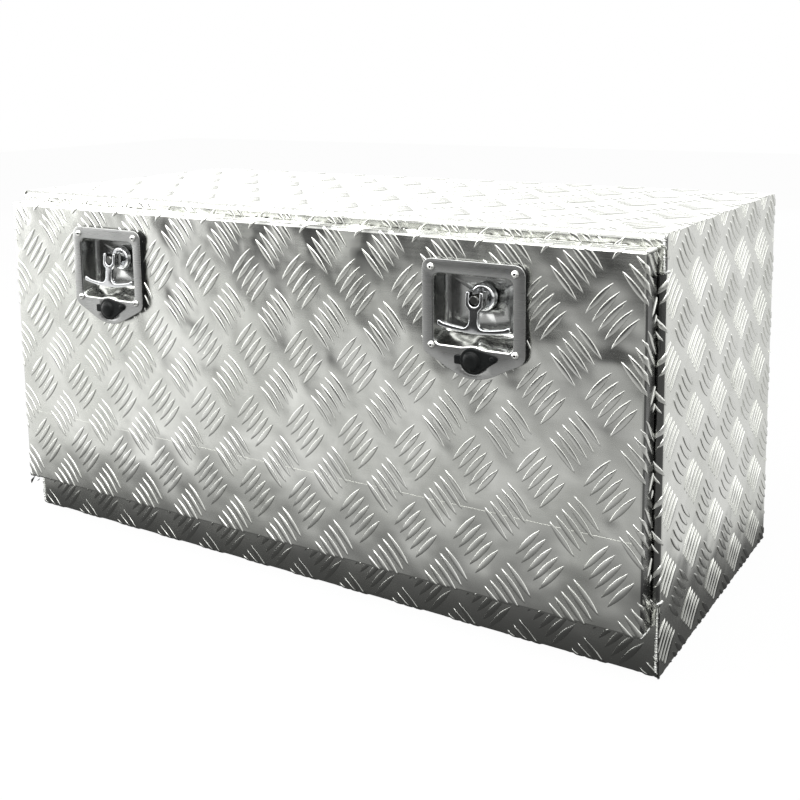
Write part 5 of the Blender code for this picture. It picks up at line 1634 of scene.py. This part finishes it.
class TOOLBOX_OT_studio(bpy.types.Operator):
    """Set the floor, the lights, the background and the camera"""

    bl_idname = "toolbox.studio"
    bl_label = "Studio"

    def execute(self, context):
        scene = context.scene
        studio = scene.tool_box_studio
        self.floor(scene, studio)
        self.world(scene, studio)
        for name, (place, aim, size) in LIGHTS.items():
            self.light(scene, name + "_light", place, aim, size, getattr(studio, name))
        self.camera(scene, studio)
        scene.view_settings.view_transform = "Standard"
        return {"FINISHED"}

    def floor(self, scene, studio):
        half = studio.floor_size / 2
        level = CAD_BOX[0].z - scene.tool_box_tread.bar_height - 0.0001
        mesh = bpy.data.meshes.new("studio_floor")
        corners = [(x * half, y * half, level) for x, y in ((-1, -1), (1, -1), (1, 1), (-1, 1))]
        mesh.from_pydata(corners, [], [(0, 1, 2, 3)])
        made = bpy.data.objects.new("studio_floor", mesh)
        scene.collection.objects.link(made)
        mesh.materials.append(self.floor_material(scene.tool_box_finish.backdrop))

    def floor_material(self, tone):
        """A pale matt floor that keeps the shadow, and lifts to the white of the background."""
        material = bpy.data.materials.new("pale_floor")
        material.use_nodes = True
        nodes = Backdrop(material.node_tree)
        surface = nodes.group.nodes["Principled BSDF"]
        values = {"Base Color": rgba(tone), "Roughness": 0.7, "Specular IOR Level": 0.0}
        for label, value in values.items():
            surface.inputs[label].default_value = value
        seen, gloss = nodes.seen_plainly()
        white = nodes.light("ShaderNodeEmission", 1.0)
        # For glossy rays the floor glows with a painted tone, in place of its lit colour
        mirrored = nodes.light("ShaderNodeEmission", self.mirrored_floor_painted_shade(nodes))
        lifted = nodes.mix(seen * 0.96, surface.outputs[0], white)
        nodes.show("Material Output", nodes.mix(gloss, lifted, mirrored))
        return material

    def mirrored_floor_painted_shade(self, nodes):
        """Painted shadow and shade of the floor as the metal mirrors it: darker near the box, to the
        right and far in front.
        """
        x, y, _ = nodes.parts(nodes.add("ShaderNodeTexCoord").outputs["Object"])
        past_x = nodes.at_least(abs(x) - BOX_HALF_X, 0.0) * (nodes.at_least(y, 0.0) * 24.0 + 1.3)
        past_y = nodes.at_least(abs(y) - BOX_HALF_Y, 0.0)
        off = nodes.math("SQRT", past_x * past_x + past_y * past_y)
        near = nodes.smooth(off, 0.0, 0.50, 0.10, 0.92)
        side = nodes.smooth(x - (y + 0.94) * 1.2, -1.2, 0.5, 1.0, 0.40)
        front = nodes.smooth(y, -2.4, -1.2, 0.85, 0.0)
        right = nodes.smooth(x / nodes.at_least(y * -1.0, 0.1), -0.95, -0.60, 0.0, 1.0)
        behind = nodes.smooth(y, -0.2, 0.5, 1.0, 0.80)
        return near * side * (1.0 - front * right) * behind

    def world(self, scene, studio):
        """White for the camera, a soft room for the light, and for gloss one dark in front."""
        world = bpy.data.worlds.new("studio_room")
        scene.world = world
        world.use_nodes = True
        nodes = Backdrop(world.node_tree)
        room = nodes.group.nodes["Background"]
        room.inputs["Color"].default_value = (1.0, 1.0, 1.0, 1.0)
        room.inputs["Strength"].default_value = studio.room
        seen, gloss = nodes.seen_plainly()
        white = nodes.light("ShaderNodeBackground", 1.0)
        walls = nodes.light("ShaderNodeBackground", self.wall_tone(nodes))
        lit = nodes.mix(gloss, room.outputs[0], walls)
        nodes.show("World Output", nodes.mix(seen, lit, white))

    def wall_tone(self, nodes):
        """Dark straight in front of the box, where the photographer stands, and white elsewhere."""
        where = nodes.add("ShaderNodeTexCoord").outputs["Generated"]
        ways = {0: where, 1: Vector(PHOTOGRAPHER).normalized()}
        dot = nodes.add("ShaderNodeVectorMath", ways, operation="DOT_PRODUCT").outputs["Value"]
        ahead = nodes.smooth(dot, 0.86, 0.95, 0.0, 0.97)
        return 1.0 - ahead * nodes.smooth(nodes.parts(where)[2], 0.07, 0.20, 1.0, 0.0)

    def light(self, scene, name, place, aim, size, power):
        data = bpy.data.lights.new(name, "AREA")
        data.shape = "RECTANGLE"
        data.size, data.size_y = size
        data.energy = power
        made = bpy.data.objects.new(name, data)
        made.location = place
        made.rotation_euler = (Vector(aim) - Vector(place)).to_track_quat("-Z", "Y").to_euler()
        made.visible_camera = False
        scene.collection.objects.link(made)

    def camera(self, scene, studio):
        data = bpy.data.cameras.new("photo_camera")
        data.sensor_width = 36.0
        data.lens = studio.lens
        data.shift_x, data.shift_y = studio.shift_x, studio.shift_y
        data.clip_start, data.clip_end = 0.05, 60.0
        made = bpy.data.objects.new("photo_camera", data)
        place = Matrix.Translation(Vector(studio.camera_place))
        turns = ((studio.camera_pan, "Z"), (studio.camera_tilt, "X"), (studio.camera_roll, "Z"))
        for turn, axis in turns:
            place = place @ Matrix.Rotation(turn, 4, axis)
        made.matrix_world = place
        scene.collection.objects.link(made)
        scene.camera = made


# Add-on


OPERATORS = (
    TOOLBOX_OT_finishes,
    TOOLBOX_OT_tread_bars,
    TOOLBOX_OT_lock_plates,
    TOOLBOX_OT_lock_bosses,
    TOOLBOX_OT_t_handles,
    TOOLBOX_OT_spindles,
    TOOLBOX_OT_lock_rivets,
    TOOLBOX_OT_weather_caps,
    TOOLBOX_OT_weld_beads,
    TOOLBOX_OT_studio,
)


class TOOLBOX_PT_panel(bpy.types.Panel):
    bl_label = "Tool Box"
    bl_idname = "TOOLBOX_PT_panel"
    bl_space_type = "VIEW_3D"
    bl_region_type = "UI"
    bl_category = "Tool Box"

    def draw(self, context):
        column = self.layout.column(align=True)
        for operator in OPERATORS:
            column.operator(operator.bl_idname)
        for name, group in GROUPS.items():
            box = self.layout.box()
            for key in group.__annotations__:
                box.prop(getattr(context.scene, name), key)


CLASSES = (*GROUPS.values(), *OPERATORS, TOOLBOX_PT_panel)


def register():
    for item in CLASSES:
        bpy.utils.register_class(item)
    for name, group in GROUPS.items():
        setattr(bpy.types.Scene, name, PointerProperty(type=group))


def unregister():
    for name in GROUPS:
        delattr(bpy.types.Scene, name)
    for item in reversed(CLASSES):
        bpy.utils.unregister_class(item)


def main():
    register()
    for obj in list(bpy.data.objects):
        if obj.name in ("Cube", "Light", "Camera"):
            bpy.data.objects.remove(obj, do_unlink=True)
    for operator in OPERATORS:
        group, name = operator.bl_idname.split(".")
        getattr(getattr(bpy.ops, group), name)()


if __name__ == "__main__":
    main()
